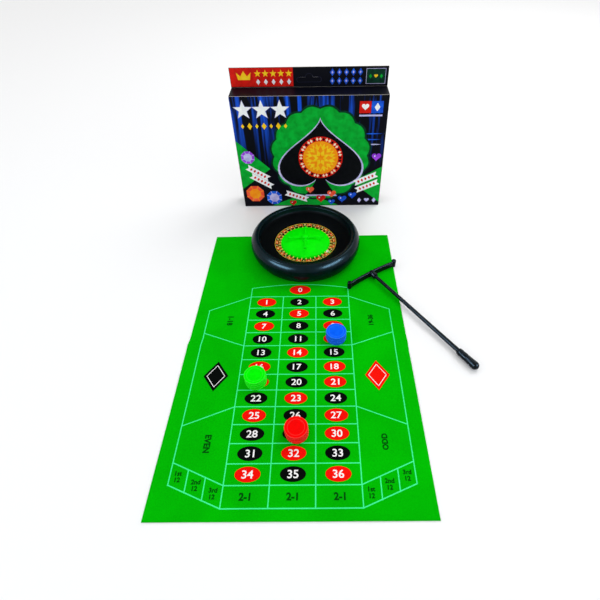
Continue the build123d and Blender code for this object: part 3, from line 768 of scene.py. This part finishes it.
figures, dividers = [], []
figure_radius, divider_half, ink_lift = 38.45, 0.16, 0.02
for pocket, number in enumerate(order_here):
    flat_points, faces = glyphs(str(number), 2.15, weight=0.045, stretch=0.9 if number > 9 else 1.15)
    radius = figure_radius + flat_points[:, 1]
    angle = -(pocket + 0.5) * pitch - flat_points[:, 0] / figure_radius
    figures.append((around(wheel_centre, radius, angle, shelf_height(radius) + ink_lift), faces))
    radius, angle = band[1:3, None], -pocket * pitch + np.array([-1, 1]) * divider_half / figure_radius
    divider = around(wheel_centre, radius, angle, shelf_height(radius) + 0.75 * ink_lift)
    dividers.append((divider, [(0, 1, 3, 2)]))
for name, parts, ink in (("figures", figures, CREAM), ("dividers", dividers, GOLD)):
    finished(f"number_label_{name}", joined(*parts), "rotor", [label_inks[ink]], crease=None)
print("number ring in the order", order_here[:6], "...")

# %% Frets
fret_low, fret_high, band_edge = pocket_floor + paper, 11.4, pocket_edge + 0.8
band_corners = [(pocket_edge, fret_low), (band_edge, fret_low), (band_edge, fret_high)]
band_section = rounded(band_corners + [(pocket_edge, fret_high)], [0.05, 0.05, 0.25, 0.25], 3)
fret_band = turned(band_section, wheel_centre, 148)
section = rounded([(-0.4, 0), (0.4, 0), (0.4, 2.75), (-0.4, 2.75)], [0.05, 0.05, 0.34, 0.34], 4)
along = np.array([32.5, 33.5, 35.3, 36, 36.3])[:, None]
tall = np.array([1, 1, 1, 0.93, 0.72])[:, None]
bar = np.stack(np.broadcast_arrays(along, section[:, 0], fret_low + section[:, 1] * tall), axis=-1)
bars = [wheel_centre + bar @ turned_axes(-pocket * pitch) * MM for pocket in range(pocket_count)]
fret_shape = joined(fret_band, *[(points, flat_ended(points)) for points in bars])
fret_ink = np.arange(len(fret_shape[1])) < len(fret_band[1])
fret_plastics = [fret_plastic, green_plastic]
finished("fret_spider", fret_shape, "rotor", fret_plastics, ["fret_ring"], fret_ink)
print("frets:", pocket_count, "bars,", len(fret_ink), "faces")

# %% [markdown]
# A green cone covers the rotor's middle and carries the turret, whose four arms end in balls.
# Each arm is a turned profile that is laid on its side; the column is a short turned post with a
# rounded top.

# %% Cone, turret and ball
skirt = [(30.65, 9.85), (31.7, 9.85), (31.85, 10), (31.85, 11.5)]
cone_out = arc_through((31.85, 11.85), (19.925, 15.105), (8, 17.1), 16)
cone_in = arc_through((30.65, 10.65), (19.925, 13.905), (8, 15.9), 10)[::-1]
cone = turned(np.concatenate([skirt, cone_out, [(2.4, 17.1), (2.4, 15.9)], cone_in]), wheel_centre, 128)
finished("rotor_dome", cone, "rotor", [green_plastic], ["rotor_cone"])

column = [(0, 15.9), (2.35, 15.9), (2.35, 17.1), (5, 17.1), (4.6, 17.6), (4.6, 20.9)]
column = np.concatenate([column, arc_through((4.55, 21.2), (4.05, 22.2), (2.8, 22.7), 6), [(0, 22.7)]])
arm_height, arm_length, arm_ball = 19.1, 21, 2.0
ball_end = polar(arm_ball, np.radians(np.linspace(150, 0, 12)))[:, ::-1] + (0, arm_length)
arm = np.concatenate([[(0, 2.2), (1.5, 2.2)], ball_end])
arm_middle = wheel_centre + (0, 0, arm_height * MM)
turret = [turned(column, wheel_centre, 48, closed=False)]
for quarter in range(4):
    lying = turned_axes(quarter * np.pi / 2)[[1, 2, 0]]
    turret.append(turned(arm, arm_middle, 24, closed=False, axes=lying))
finished("turret_arms", joined(*turret), "rotor", [green_plastic], ["turret"])

ball_box = box_of("roulette_ball")
ball_profile = polar(np.ptp(ball_box[:, 0]) / 2, np.linspace(-np.pi / 2, np.pi / 2, 25))
ball = turned(ball_profile, ball_box.mean(0) * MM, 48, closed=False)
ball_plastic = plastic("polished_acetal_white", "#FAF8F0", "#F0ECE0", 0.2, spacing_mm=3, Coat_Weight=0.3)
finished("white_ball", ball, "ball", [ball_plastic], ["roulette_ball"])
print("cone, turret and a ball of", round(np.ptp(ball_box[:, 0]), 1), "mm")

# %% [markdown]
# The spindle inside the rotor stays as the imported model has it: a bright steel pin and clip, and
# a bush and washer of nylon. They only need their materials.


# %% Spindle parts
def dress(node_names, material):
    """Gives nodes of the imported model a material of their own."""
    for node_name in node_names:
        part = frame["nodes"][node_name]
        part.data.materials.clear()
        part.data.materials.append(material)


steel, _ = two_tone("turned_steel", "#B4B6BA", "#9A9CA0", 0.3, 0.5, 0.6, stretch=(1, 1, 0.05), Metallic=1)
nylon, _ = two_tone("moulded_nylon", "#E8E4D8", "#DDD9CC", 0.5, 0.5, 2.5, Subsurface_Weight=0.1)
nylon.set(Subsurface_Scale=0.001)
dress(["spindle_pin", "spindle_clip"], steel.owner)
dress(["rotor_bush", "thrust_washer"], nylon.owner)
print("spindle parts dressed")

# %% [markdown]
# ## Chips
#
# Each stack is eight moulded chips, none of them quite on top of the next. A chip is a grid:
# its rows are a profile from the middle of the top round the edge to the middle of the bottom,
# and its columns go round. Near the edge the radius rises and falls with the angle, which
# makes the reeded edge, and the face between label and edge has low ridges like spokes.

# %% Chips
chip_thickness, chips_per_stack, chip_wander, turn_step = 1.5, 8, 0.25, 2.4
chip_columns, reeds, reed_start, reed_depth = 192, 32, 10.9, 0.2
spoke_start, spoke_end, spoke_height, crest_flatness = 8.1, 10.3, 0.06, 2.2
# Each row is a radius, a height and a share of the painted highlight colour: the raised edge and a ring round
# the label are painted lighter, as if they catch the light.
middle_rows = [(0, 1.3, 0), (5, 1.3, 0), (7.2, 1.3, 0), (7.45, 1.5, 0), (8, 1.5, 0.35), (8.3, 1.42, 0)]
top_rows = [(10.2, 1.42, 0), (10.45, 1.5, 0.55), (10.75, 1.5, 0.55), (10.95, 1.36, 0.55)]
edge_rows = [(11, 1.2, 0), (11, 0.3, 0.12), (10.95, 0.14, 0), (10.75, 0, 0), (0, 0, 0)]
chip_radii, chip_heights, rim_highlight_share = np.array(middle_rows + top_rows + edge_rows).T[..., None]


def chip(centre, turn):
    """One chip as a grid. At the edge the radius is R - depth * s(angle), where s is a wave with
    flat crests, and the spoke band is lifted by the same wave."""
    angle = full_turn(chip_columns)
    wave = np.clip(np.sin(angle * reeds) * crest_flatness, -1, 1) * 0.5 + 0.5
    radius = chip_radii - reed_depth * wave * (chip_radii > reed_start)
    height = chip_heights + spoke_height * wave * (chip_radii > spoke_start) * (chip_radii < spoke_end)
    points = around(centre, radius, angle + turn, height)
    return points, grid_faces(len(chip_radii), chip_columns, False, True)


def chip_plastic(name, light, dark, rim):
    """Moulded ABS. The raised edge is painted paler than the recessed middle, a painted highlight where the
    edge catches the light: the share of the highlight shade is a value stored on the points."""
    look = new_look(name, 0.4, 0.02)
    body = look.vary(look.noise(6), dark, light)
    share = look.add("Attribute", output="Fac", attribute_name="painted_highlight_share")
    look.set(Base_Color=look.blend(share, body, rim))
    look.roughen(look.noise(3), 0.28, 0.5)
    return look.owner


# The last colour of each stack is its painted highlight, for the raised edge.
for colour, first_turn, light, dark, rim in (
    ("blue", 1, "#0468FF", "#005CF4", "#4A94FF"),
    ("green", -1, "#00FF00", "#00EE00", "#50FF48"),
    ("red", 0, "#FF0000", "#F40202", "#FF5A50"),
):
    material = chip_plastic(f"moulded_abs_{colour}", light, dark, rim)
    turns = turn_step * np.arange(chips_per_stack) + first_turn
    wander = chip_wander * polar(1, turns)
    places = chip_places[colour] - wander[-1] + wander
    levels = felt_top + np.arange(chips_per_stack) * chip_thickness
    chips = [chip(spot * MM, turn) for spot, turn in zip(np.column_stack([places, levels]), turns)]
    for name, body, node, members in (
        (f"chips_{colour}", f"stack_{colour}", f"chip_stack_{colour}", chips[:-1]),
        (f"chip_on_top_{colour}", f"top_{colour}", f"chip_top_{colour}", chips[-1:]),
    ):
        share = np.tile(np.repeat(rim_highlight_share, chip_columns), len(members))
        shape = joined(*members)
        finished(name, shape, body, [material], [node], crease=30, painted_highlight_share=share)
    print(colour, "stack:", chips_per_stack, "chips")

# %% [markdown]
# ## The rake
#
# The rake lies with its head on the mat and the end of its grip on the table, so its shaft
# falls slightly. Shaft, collar and grip are one turned profile along a slanted line, and the
# head is a rounded bar that follows a shallow arc. All of it is black plastic, duller than
# the bowl.

# %% Rake
rake_place, rake_heading = np.array([89.4, 102, felt_top]), np.radians(-56.1)
blade_length, blade_height, blade_thickness, blade_bow = 71, 8, 3, 2.0
rake_run, grip_start, grip_length, grip_sphere = 174, 147, 22.6, 4.4
along_rake, across_rake, _ = turned_axes(rake_heading)
shaft_start = rake_place + (0, 0, blade_height * 0.68)
shaft_axis = unit(along_rake * rake_run - (0, 0, shaft_start[2] - grip_sphere))
shaft_axes = np.array([across_rake, np.cross(shaft_axis, across_rake), shaft_axis])


def along_shaft(profile, segments):
    """Profile of (radius, distance from the head) turned round the shaft."""
    return turned(profile, shaft_start * MM, segments, closed=False, axes=shaft_axes)


collar = [(0, -2.2), (1.6, -2), (3, -1.2), (3.7, 0), (3.8, 1), (3.8, 8.4), (3.4, 9), (2.1, 9), (0, 9)]
shaft = [(0, 0.5), (2.1, 0.5), (2.1, 9), (2.5, grip_start), (2.5, 158.8), (0, 158.8)]
socket = [(0, 159), (2.5, 159), (2.5, grip_start), (3.4, grip_start), (3.6, 147.3)]
rings = [(3.95, 151), (3.6, 151.8), (3.75, 152.6), (4.05, 157), (3.75, 157.8), (3.9, 158.6)]
swell = [(4.35, 168.2), (4.4, 169.6)]
cap = polar(grip_sphere, np.linspace(0, np.pi / 2, 10)[1:]) + (0, grip_start + grip_length)

arc_end = blade_length / 2
blade_line = arc_through((-arc_end, -blade_bow), (0, 0), (arc_end, -blade_bow), 41)
half = blade_thickness / 2
section = rounded([(-half, 0), (half, 0), (half, blade_height), (-half, blade_height)], [0.5, 0.5, 1.3, 1.3])
plan = blade_line[:, None] + left_of(blade_line)[:, None] * section[:, :1]
blade = np.concatenate([plan, np.broadcast_to(section[:, 1:], (*plan.shape[:2], 1))], axis=-1)
blade_axes = np.array([across_rake, -along_rake, (0, 0, 1)])
blade = (rake_place + blade @ blade_axes) * MM
post = rounded([(0, 0), (2.8, 0), (2.8, 10), (0, 10)], [0, 0.4, 1.1, 0])
ends = (rake_place + blade_line[[0, -1]] @ blade_axes[:2]) * MM
posts = [turned(post, end, 40, closed=False) for end in ends]
rake_plastic = plastic("moulded_polypropylene_black", "#0A1015", "#06090C", 0.2, 0.1, Specular_Tint="#D8F0FF")
for name, node, shape in (
    ("rake_blade", "rake_head", joined((blade, flat_ended(blade)), *posts, along_shaft(collar, 40))),
    ("rake_rod", "rake_shaft", along_shaft(shaft, 36)),
    ("rake_handle", "rake_grip", along_shaft(np.concatenate([socket, rings, swell, cap]), 40)),
):
    finished(name, shape, "rake", [rake_plastic], [node])
print("rake:", round(rake_run), "mm long")

# %% [markdown]
# ## The carton
#
# The carton is thin bleached board, printed and varnished outside and plain inside. Its front and
# two sides are one folded strip with rounded creases, which is built here. The other panels stay
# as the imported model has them: their material looks at the direction a face points in, and
# prints only those faces that point outwards.

# %% Board and print
front_low, front_high = box_of("carton_front_panel")
header_low, header_high = box_of("header_ply")
back_high, side_high = box_of("carton_back_panel")[1], box_of("carton_left_panel")[1]
carton_x, half_carton = (front_low[0] + front_high[0]) / 2, (front_high[0] - front_low[0]) / 2
board = front_high[1] - front_low[1]
streaks_start, streaks_full, least_facing = 0.06, 0.14, 0.8


def ground_colour(look, streaked):
    """Navy to black print. Streaked, it has upright blue streaks that brighten towards the top:
    share = shine * rise."""
    cloud = look.blend(look.noise(30), "#030309", "#060614")
    if not streaked:
        return cloud
    shine = look.remap(look.noise(5.5, stretch=(1, 1, 0.05)), 0.5, 0.74)
    level = look.add("SeparateXYZ", {0: look.add("TexCoord", output="Object")}, "Z")
    share = look.maths("MULTIPLY", shine, look.remap(level, streaks_start, streaks_full))
    return look.blend(share, cloud, "#1C62FF")


def board_material(name, outward=None, both_sides=False):
    """Folding boxboard, grey-white with fibres along the grain. Faces that point along outward
    are printed and varnished, and with both_sides those that point the other way too."""
    look = new_look(name, 0.8, 0.05)
    colour = look.blend(look.noise(1.2, stretch=(0.3, 1, 1)), "#B9B5AA", "#DEDAD0")
    if outward is not None:
        facing = {0: look.add("TexCoord", output="Normal"), 1: outward}
        share = look.add("VectorMath", facing, "Value", operation="DOT_PRODUCT")
        if both_sides:
            share = look.maths("ABSOLUTE", share)
        share = look.maths("GREATER_THAN", share, least_facing)
        colour = look.blend(share, colour, ground_colour(look, streaked=False))
        look.roughen(share, 0.8, 0.42)
    look.set(Base_Color=colour)
    look.emboss(look.noise(1.4), 0.02, 0.3)
    return look.owner


plain_board = board_material("boxboard_plain")
ground = new_look("offset_print_navy", 0.4, 0.05)
ground.set(Base_Color=ground_colour(ground, streaked=True))
ground.emboss(ground.noise(24, detail=1), 0.12, 0.5)
plain_panels = ["dust_flap_left", "dust_flap_right", "glue_flap", "bottom_inner_flap"]
dress(plain_panels + ["bottom_dust_flap_left", "bottom_dust_flap_right"], plain_board)
for node, outside, *outward in (
    ("carton_back_panel", "back", 0, 1, 0),
    ("header_ply", "front", 0, -1, 0),
    ("hang_slot_tab", "tab", 0, -1, 0),
    ("carton_lid", "top", 0, 0, 1),
    ("bottom_outer_flap", "bottom", 0, 0, -1),
    ("tuck_tongue", "tuck", 0, 1, 0),
):
    dress([node], board_material(f"boxboard_printed_{outside}", outward, node == "hang_slot_tab"))
print("board materials on 12 panels")

# %% Front and sides
crease_radius = 0.9


def crease_path(inset):
    """Path of the strip in plan, inset from the outside, with round corners at the creases."""
    h, r = half_carton - inset, crease_radius - inset
    front_y = front_low[1] + inset
    angle = np.linspace(0, np.pi / 2, 7)
    left = polar(r, np.pi + angle) + (-h + r, front_y + r)
    right = polar(r, angle - np.pi / 2) + (h - r, front_y + r)
    middle = [(x, front_y) for x in np.linspace(-h + r, h - r, 13)[1:-1]]
    return np.concatenate([[(-h, side_high[1])], left, middle, right, [(h, side_high[1])]])


outer, inner = crease_path(0), crease_path(board)
top = np.where(np.abs(outer[:, 1] - front_low[1]) < 0.05, front_high[2], side_high[2])
section = ((outer, 0 * top), (outer, top), (inner, top), (inner, 0 * top))
sleeve = np.stack([np.column_stack([path, z]) for path, z in section], axis=1) + (carton_x, 0, 0)
sleeve_ink = [0, 1, 1, 1] * (len(sleeve) - 1) + [1, 1]
panels = ["carton_front_panel", "carton_left_panel", "carton_right_panel"]
sleeve_shape = sleeve * MM, flat_ended(sleeve)
materials = [ground.owner, plain_board]
finished("carton_sleeve", sleeve_shape, "carton", materials, panels, sleeve_ink, crease=30)
print("sleeve:", len(sleeve_ink), "faces")

# %% [markdown]
# The printed design is generic: card suits, stars, gems and ribbons on navy. Every motif is a
# flat outline in millimetres on one face of the carton, filled with triangles and lifted two
# hundredths of a millimetre for each layer of ink under it.

# %% Inks and the drawing helpers
inks = {}
for row in (
    "black #0A0A10 #040408", "lilac #D8D4FF #A8A4E0", "green #04B838 #029428", "dark_green #06402C #032418",
    "orange #FFA81C #FF8408", "yellow #FFDC28 #FFC010", "red #E81C10 #C01008", "cream #FFE8D0 #FFD8B8",
    "blue #1E6CF0 #1240C8", "purple #B04CF0 #8030D0", "white #FFFFFF #F0F0FA", "gold #F0C040 #D89A20",
    "coral #FF6A48 #F04828", "slate #30324A #26283C",
):
    ink, light, dark = row.split()
    inks[ink] = two_tone(f"offset_print_{ink}", light, dark, 0.4, 0.05, 7, 4)[0].owner


class Face:
    """One upright side of the carton: where u = v = 0 is, which way u runs, and what is drawn on
    it so far."""

    def __init__(self, origin, right):
        self.origin, up = np.array(origin, float), (0, 0, 1)
        self.axes = np.array([right, up, np.cross(right, up)], float)
        self.parts, self.inks = [], []

    def draw(self, ink, layer, outline, u=0, v=0, size=1, turn=0):
        """Fills an outline, moved into place. Triangles are turned so that they all face out."""
        outline = moved(outline, u, v, size, turn)
        triangles = np.array(tessellate_polygon([[Vector((*p, 0)) for p in outline]]))
        a, b, c = (outline[triangles[:, i]] for i in range(3))
        inward = np.linalg.det(np.stack([b - a, c - a], axis=1)) < 0
        triangles[inward] = triangles[inward][:, ::-1]
        lifted = np.column_stack([outline, np.full(len(outline), ink_lift * layer)])
        self.parts.append(((self.origin + lifted @ self.axes) * MM, triangles.tolist()))
        self.inks += [list(inks).index(ink)] * len(triangles)

    def suit(self, ink, layer, outlines, *place):
        """Draws the one or two outlines of a card suit."""
        for step, outline in enumerate(outlines):
            self.draw(ink, layer + step / 2, outline, *place)

    def finish(self, name):
        """Makes one piece of all that is drawn."""
        materials = list(inks.values())
        finished(name, joined(*self.parts), "carton", materials, (), self.inks, crease=None)
        print(name, len(self.inks), "triangles")


def polygon(corners, inner=None):
    """Regular polygon of radius 1, or a star when an inner radius is given."""
    count = corners * (2 if inner else 1)
    reach = np.where(np.arange(count) % 2 == 0, 1, inner or 1)
    return polar(reach, np.pi / 2 + full_turn(count))


def box_outline(width, height):
    """Rectangle round 0, 0."""
    return np.array([(-1, -1), (1, -1), (1, 1), (-1, 1)]) * (width / 2, height / 2)


# The heart is u = 16 sin(a)^3, v = 13 cos(a) - 5 cos(2 a) - 2 cos(3 a) - cos(4 a), made small.
angle = full_turn(64)
waves = [share * np.cos(k * angle) for k, share in ((1, 13), (2, -5), (3, -2), (4, -1))]
heart = np.stack([16 * np.sin(angle) ** 3, sum(waves) + 2.5], axis=-1)[::-1] / 16
spade_leaf = heart * [1, -1.12]
flare = np.linspace(0, 1, 8)
foot_side = np.stack([0.06 + 0.34 * flare**2.2, -0.35 - 0.95 * flare], axis=-1)
spade_foot = np.concatenate([foot_side[::-1], foot_side * [-1, 1]])
spade = (spade_leaf, spade_foot)
circle, star, octagon = polygon(56), polygon(5, 0.42), polygon(8)
rhomb = np.array([(0, 1.15), (-0.8, 0), (0, -1.15), (0.8, 0)])
print("inks:", ", ".join(inks))

# %% Front print
front = Face((carton_x, front_low[1], 0), (1, 0, 0))
spade_u, spade_v, spade_size, spade_stretch = 14, 84, 48, [1.22, 1]
front.draw("green", 1, [(-101.5, 30), (-58, 62), (-101.5, 104)])
front.draw("green", 1, [(101.5, 64), (60, 40), (101.5, 6)])
front.draw("green", 1, [(-60, 1), (-8, 22), (40, 1)])
lobes, lobe_radius, lobe_depth = 16, 67, 4.2
lobe_angle = full_turn(lobes * 10)
scalloped = polar(lobe_radius + lobe_depth * np.abs(np.sin(lobe_angle * lobes / 2)), lobe_angle)
front.draw("dark_green", 2, scalloped, spade_u, spade_v - 3)
front.draw("green", 3, scalloped, spade_u, spade_v - 3, 0.96)
for layer, grow, ink in ((4, 1.045, "lilac"), (5, 1, "black")):
    front.draw(ink, layer, spade_foot * spade_stretch, spade_u, spade_v - 2, spade_size * grow)
    front.draw(ink, layer + 0.5, spade_leaf * spade_stretch, spade_u, spade_v, spade_size * grow)

hub_v, ring_radius, beads, bead_share = spade_v - 6, 31, 40, 0.89
front.draw("red", 6, circle, spade_u, hub_v, ring_radius)
for bead, (u, v) in enumerate(polar(ring_radius * bead_share, full_turn(beads))):
    ink, turn = "cream" if bead % 3 else "black", 360 * bead / beads - 90
    front.draw(ink, 7, rhomb, spade_u + u, hub_v + v, 2.3, turn)
for ink, layer, shape, size, turn in (
    ("orange", 7, circle, 0.79, 0),
    ("yellow", 8, polygon(24, 0.76), 0.70, 0),
    ("orange", 9, polygon(12, 0.62), 0.60, 0),
    ("yellow", 10, polygon(8, 0.5), 0.44, 22.5),
    ("orange", 11, polygon(6, 0.4), 0.24, 0),
):
    front.draw(ink, layer, shape, spade_u, hub_v, ring_radius * size, turn)
for ink, u, v, length in (("blue", 84, 112, 17), ("blue", 80, 104, 20), ("lilac", 86, 97, 14)):
    front.draw(ink, 1, rhomb * [length, 0.8], u, v)
for u in (-86, -62, -38):
    front.draw("lilac", 4, star, u, 145, 13)
    front.draw("white", 5, star, u, 145, 11.8)
for k in range(7):
    front.draw("yellow", 5, rhomb, -89 + 9.5 * k, 124, 4 if k % 2 else 2.8)
for ink, u, suit in (("red", 72, heart), ("blue", 87.5, rhomb)):
    front.draw(ink, 4, box_outline(15, 15), u, 147)
    front.draw("white", 5, suit, u, 147, 4.6)
front.draw("lilac", 4, box_outline(30, 2.2), 79.7, 136.4)

# Pale banners with notched ends, each with a row of small red diamonds.
banner = [(-15, -3.6), (15, -3.6), (12.5, 0), (15, 3.6), (-15, 3.6), (-12.5, 0)]
for u, v, turn in ((79, 45, 24), (82, 33, 24), (-76, 56, -32), (-72, 43, -32), (-22, 17, -20)):
    front.draw("white", 11, banner, u, v, 1.2, turn)
    for spot in moved([(-9 + 4.5 * k, 0) for k in range(5)], u, v, 1.2, turn):
        front.draw("red", 12, rhomb, *spot, 2.3, turn)

# Cut gems seen from above: an octagon, its lighter table and eight facet lines.
facet_line = [(-0.03, 0.6), (0.03, 0.6), (0.04, 0.98), (-0.04, 0.98)]
for dark, light, u, v, size in (
    ("purple", "lilac", -88, 80, 10), ("coral", "orange", -84, 22, 14), ("blue", "lilac", -56, 15, 12)
):
    front.draw(dark, 11, octagon, u, v, size, 22.5)
    front.draw(light, 13, octagon, u, v, size * 0.62, 22.5)
    for facet in range(8):
        front.draw(light, 12, facet_line, u, v, size, 45 * facet + 22.5)

for ink, u, v, size in (
    ("red", 14, 12, 7), ("coral", 30, 20, 6.5), ("blue", 46, 11, 6.5), ("blue", 61, 17, 6),
    ("coral", -2, 27, 6), ("purple", 92, 78, 6.5), ("blue", 30, 6, 5), ("red", -28, 5, 5),
):
    front.draw(ink, 11, heart, u, v, size)
    front.draw("white", 12, circle, u - size * 0.35, v + size * 0.32, size * 0.16)
for u, suit in ((72, rhomb), (83, heart), (94, rhomb)):
    front.draw("lilac", 11, suit, u, 9, 3.8)
front.finish("carton_front_print")

# %% [markdown]
# The header above the box opening is two plies of board with a press-out slot for a shop's
# hook, whose cut shows as a thin dark line. Its own print has a red field with a crown and
# stars, blue diamonds and a framed tile. The back has a panel of suits over a ruled table, and
# the sides have a column of suits.

# %% Header, back and side print
header = Face((carton_x, header_low[1], (header_low[2] + header_high[2]) / 2), (1, 0, 0))
header.draw("red", 1, box_outline(81, 22.6), -61, 0.2)
crown = [(-9, -5), (9, -5), (11, 5.5), (5, 0), (0, 7.5), (-5, 0), (-11, 5.5)]
header.draw("yellow", 2, crown, -84, 1.5, 0.86)
for k in range(5):
    header.draw("yellow", 2, star, -66 + 10 * k, 4.6, 4.6)
    header.draw("white", 2, rhomb, -66 + 10 * k, -5.4, 3.2)
for k in range(5):
    for row in (-1, 1):
        header.draw("blue", 1, rhomb, 30 + 9 * k, 5.2 * row, 4)
        header.draw("lilac", 2, rhomb, 30 + 9 * k, 5.2 * row, 1.6)
header.draw("lilac", 1, box_outline(25, 18.5), 86)
header.draw("dark_green", 2, box_outline(24, 17.5), 86)
for ink, suit, u in (("green", rhomb, 79), ("yellow", heart, 86), ("green", rhomb, 93)):
    header.draw(ink, 3, suit, u, 0, 2.4)
header.finish("carton_header_print")

slot_rise, cut_width = 8.8, 0.32
peak = polar(5, np.radians(np.linspace(14, 166, 24))) + (0, 2.4)
right_end = polar(3, np.linspace(-np.pi / 2, np.pi / 2, 12)) + (13, 0)
slot_outline = np.concatenate([right_end, peak, right_end[::-1] * [-1, 1]])
slot_cut = Face((carton_x, header_low[1], header_low[2] + slot_rise), (1, 0, 0))
for start, end in zip(slot_outline, np.roll(slot_outline, -1, axis=0)):
    corners, _ = strip([start, end], cut_width)
    slot_cut.draw("slate", 1, corners[[0, 1, 1, 0], [0, 0, 1, 1]])
slot_cut.finish("hang_slot_cut")

back = Face((carton_x, back_high[1], 0), (-1, 0, 0))
back.draw("gold", 1, box_outline(180, 140), 0, 82)
back.draw("black", 2, box_outline(178, 138), 0, 82)
back.draw("lilac", 3, box_outline(150, 62), 0, 62)
back.draw("dark_green", 4, box_outline(149, 61), 0, 62)
for k in range(8):
    back.draw("green", 5, box_outline(0.8, 50), -52.5 + 15 * k, 62)
for k in range(3):
    back.draw("green", 5, box_outline(105, 0.8), 0, 45.3 + 16.7 * k)
for k, (ink, suit) in enumerate((("red", [heart]), ("lilac", spade), ("red", [rhomb]), ("lilac", spade))):
    back.suit(ink, 5, suit, -54 + 36 * k, 120, 9.5)
back.finish("carton_back_print")

for name, way in (("left", -1), ("right", 1)):
    side_face = Face((carton_x + way * half_carton, (front_low[1] + back_high[1]) / 2, 0), (0, way, 0))
    side_face.draw("green", 1, box_outline(24, 150), 0, 81)
    side_face.draw("black", 2, box_outline(22.6, 148.6), 0, 81)
    for k, (ink, suit) in enumerate((("red", [heart]), ("lilac", spade), ("coral", [rhomb])) * 2):
        side_face.suit(ink, 3, suit, 0, 25 + 22.5 * k, 6.5)
    side_face.finish(f"carton_{name}_print")
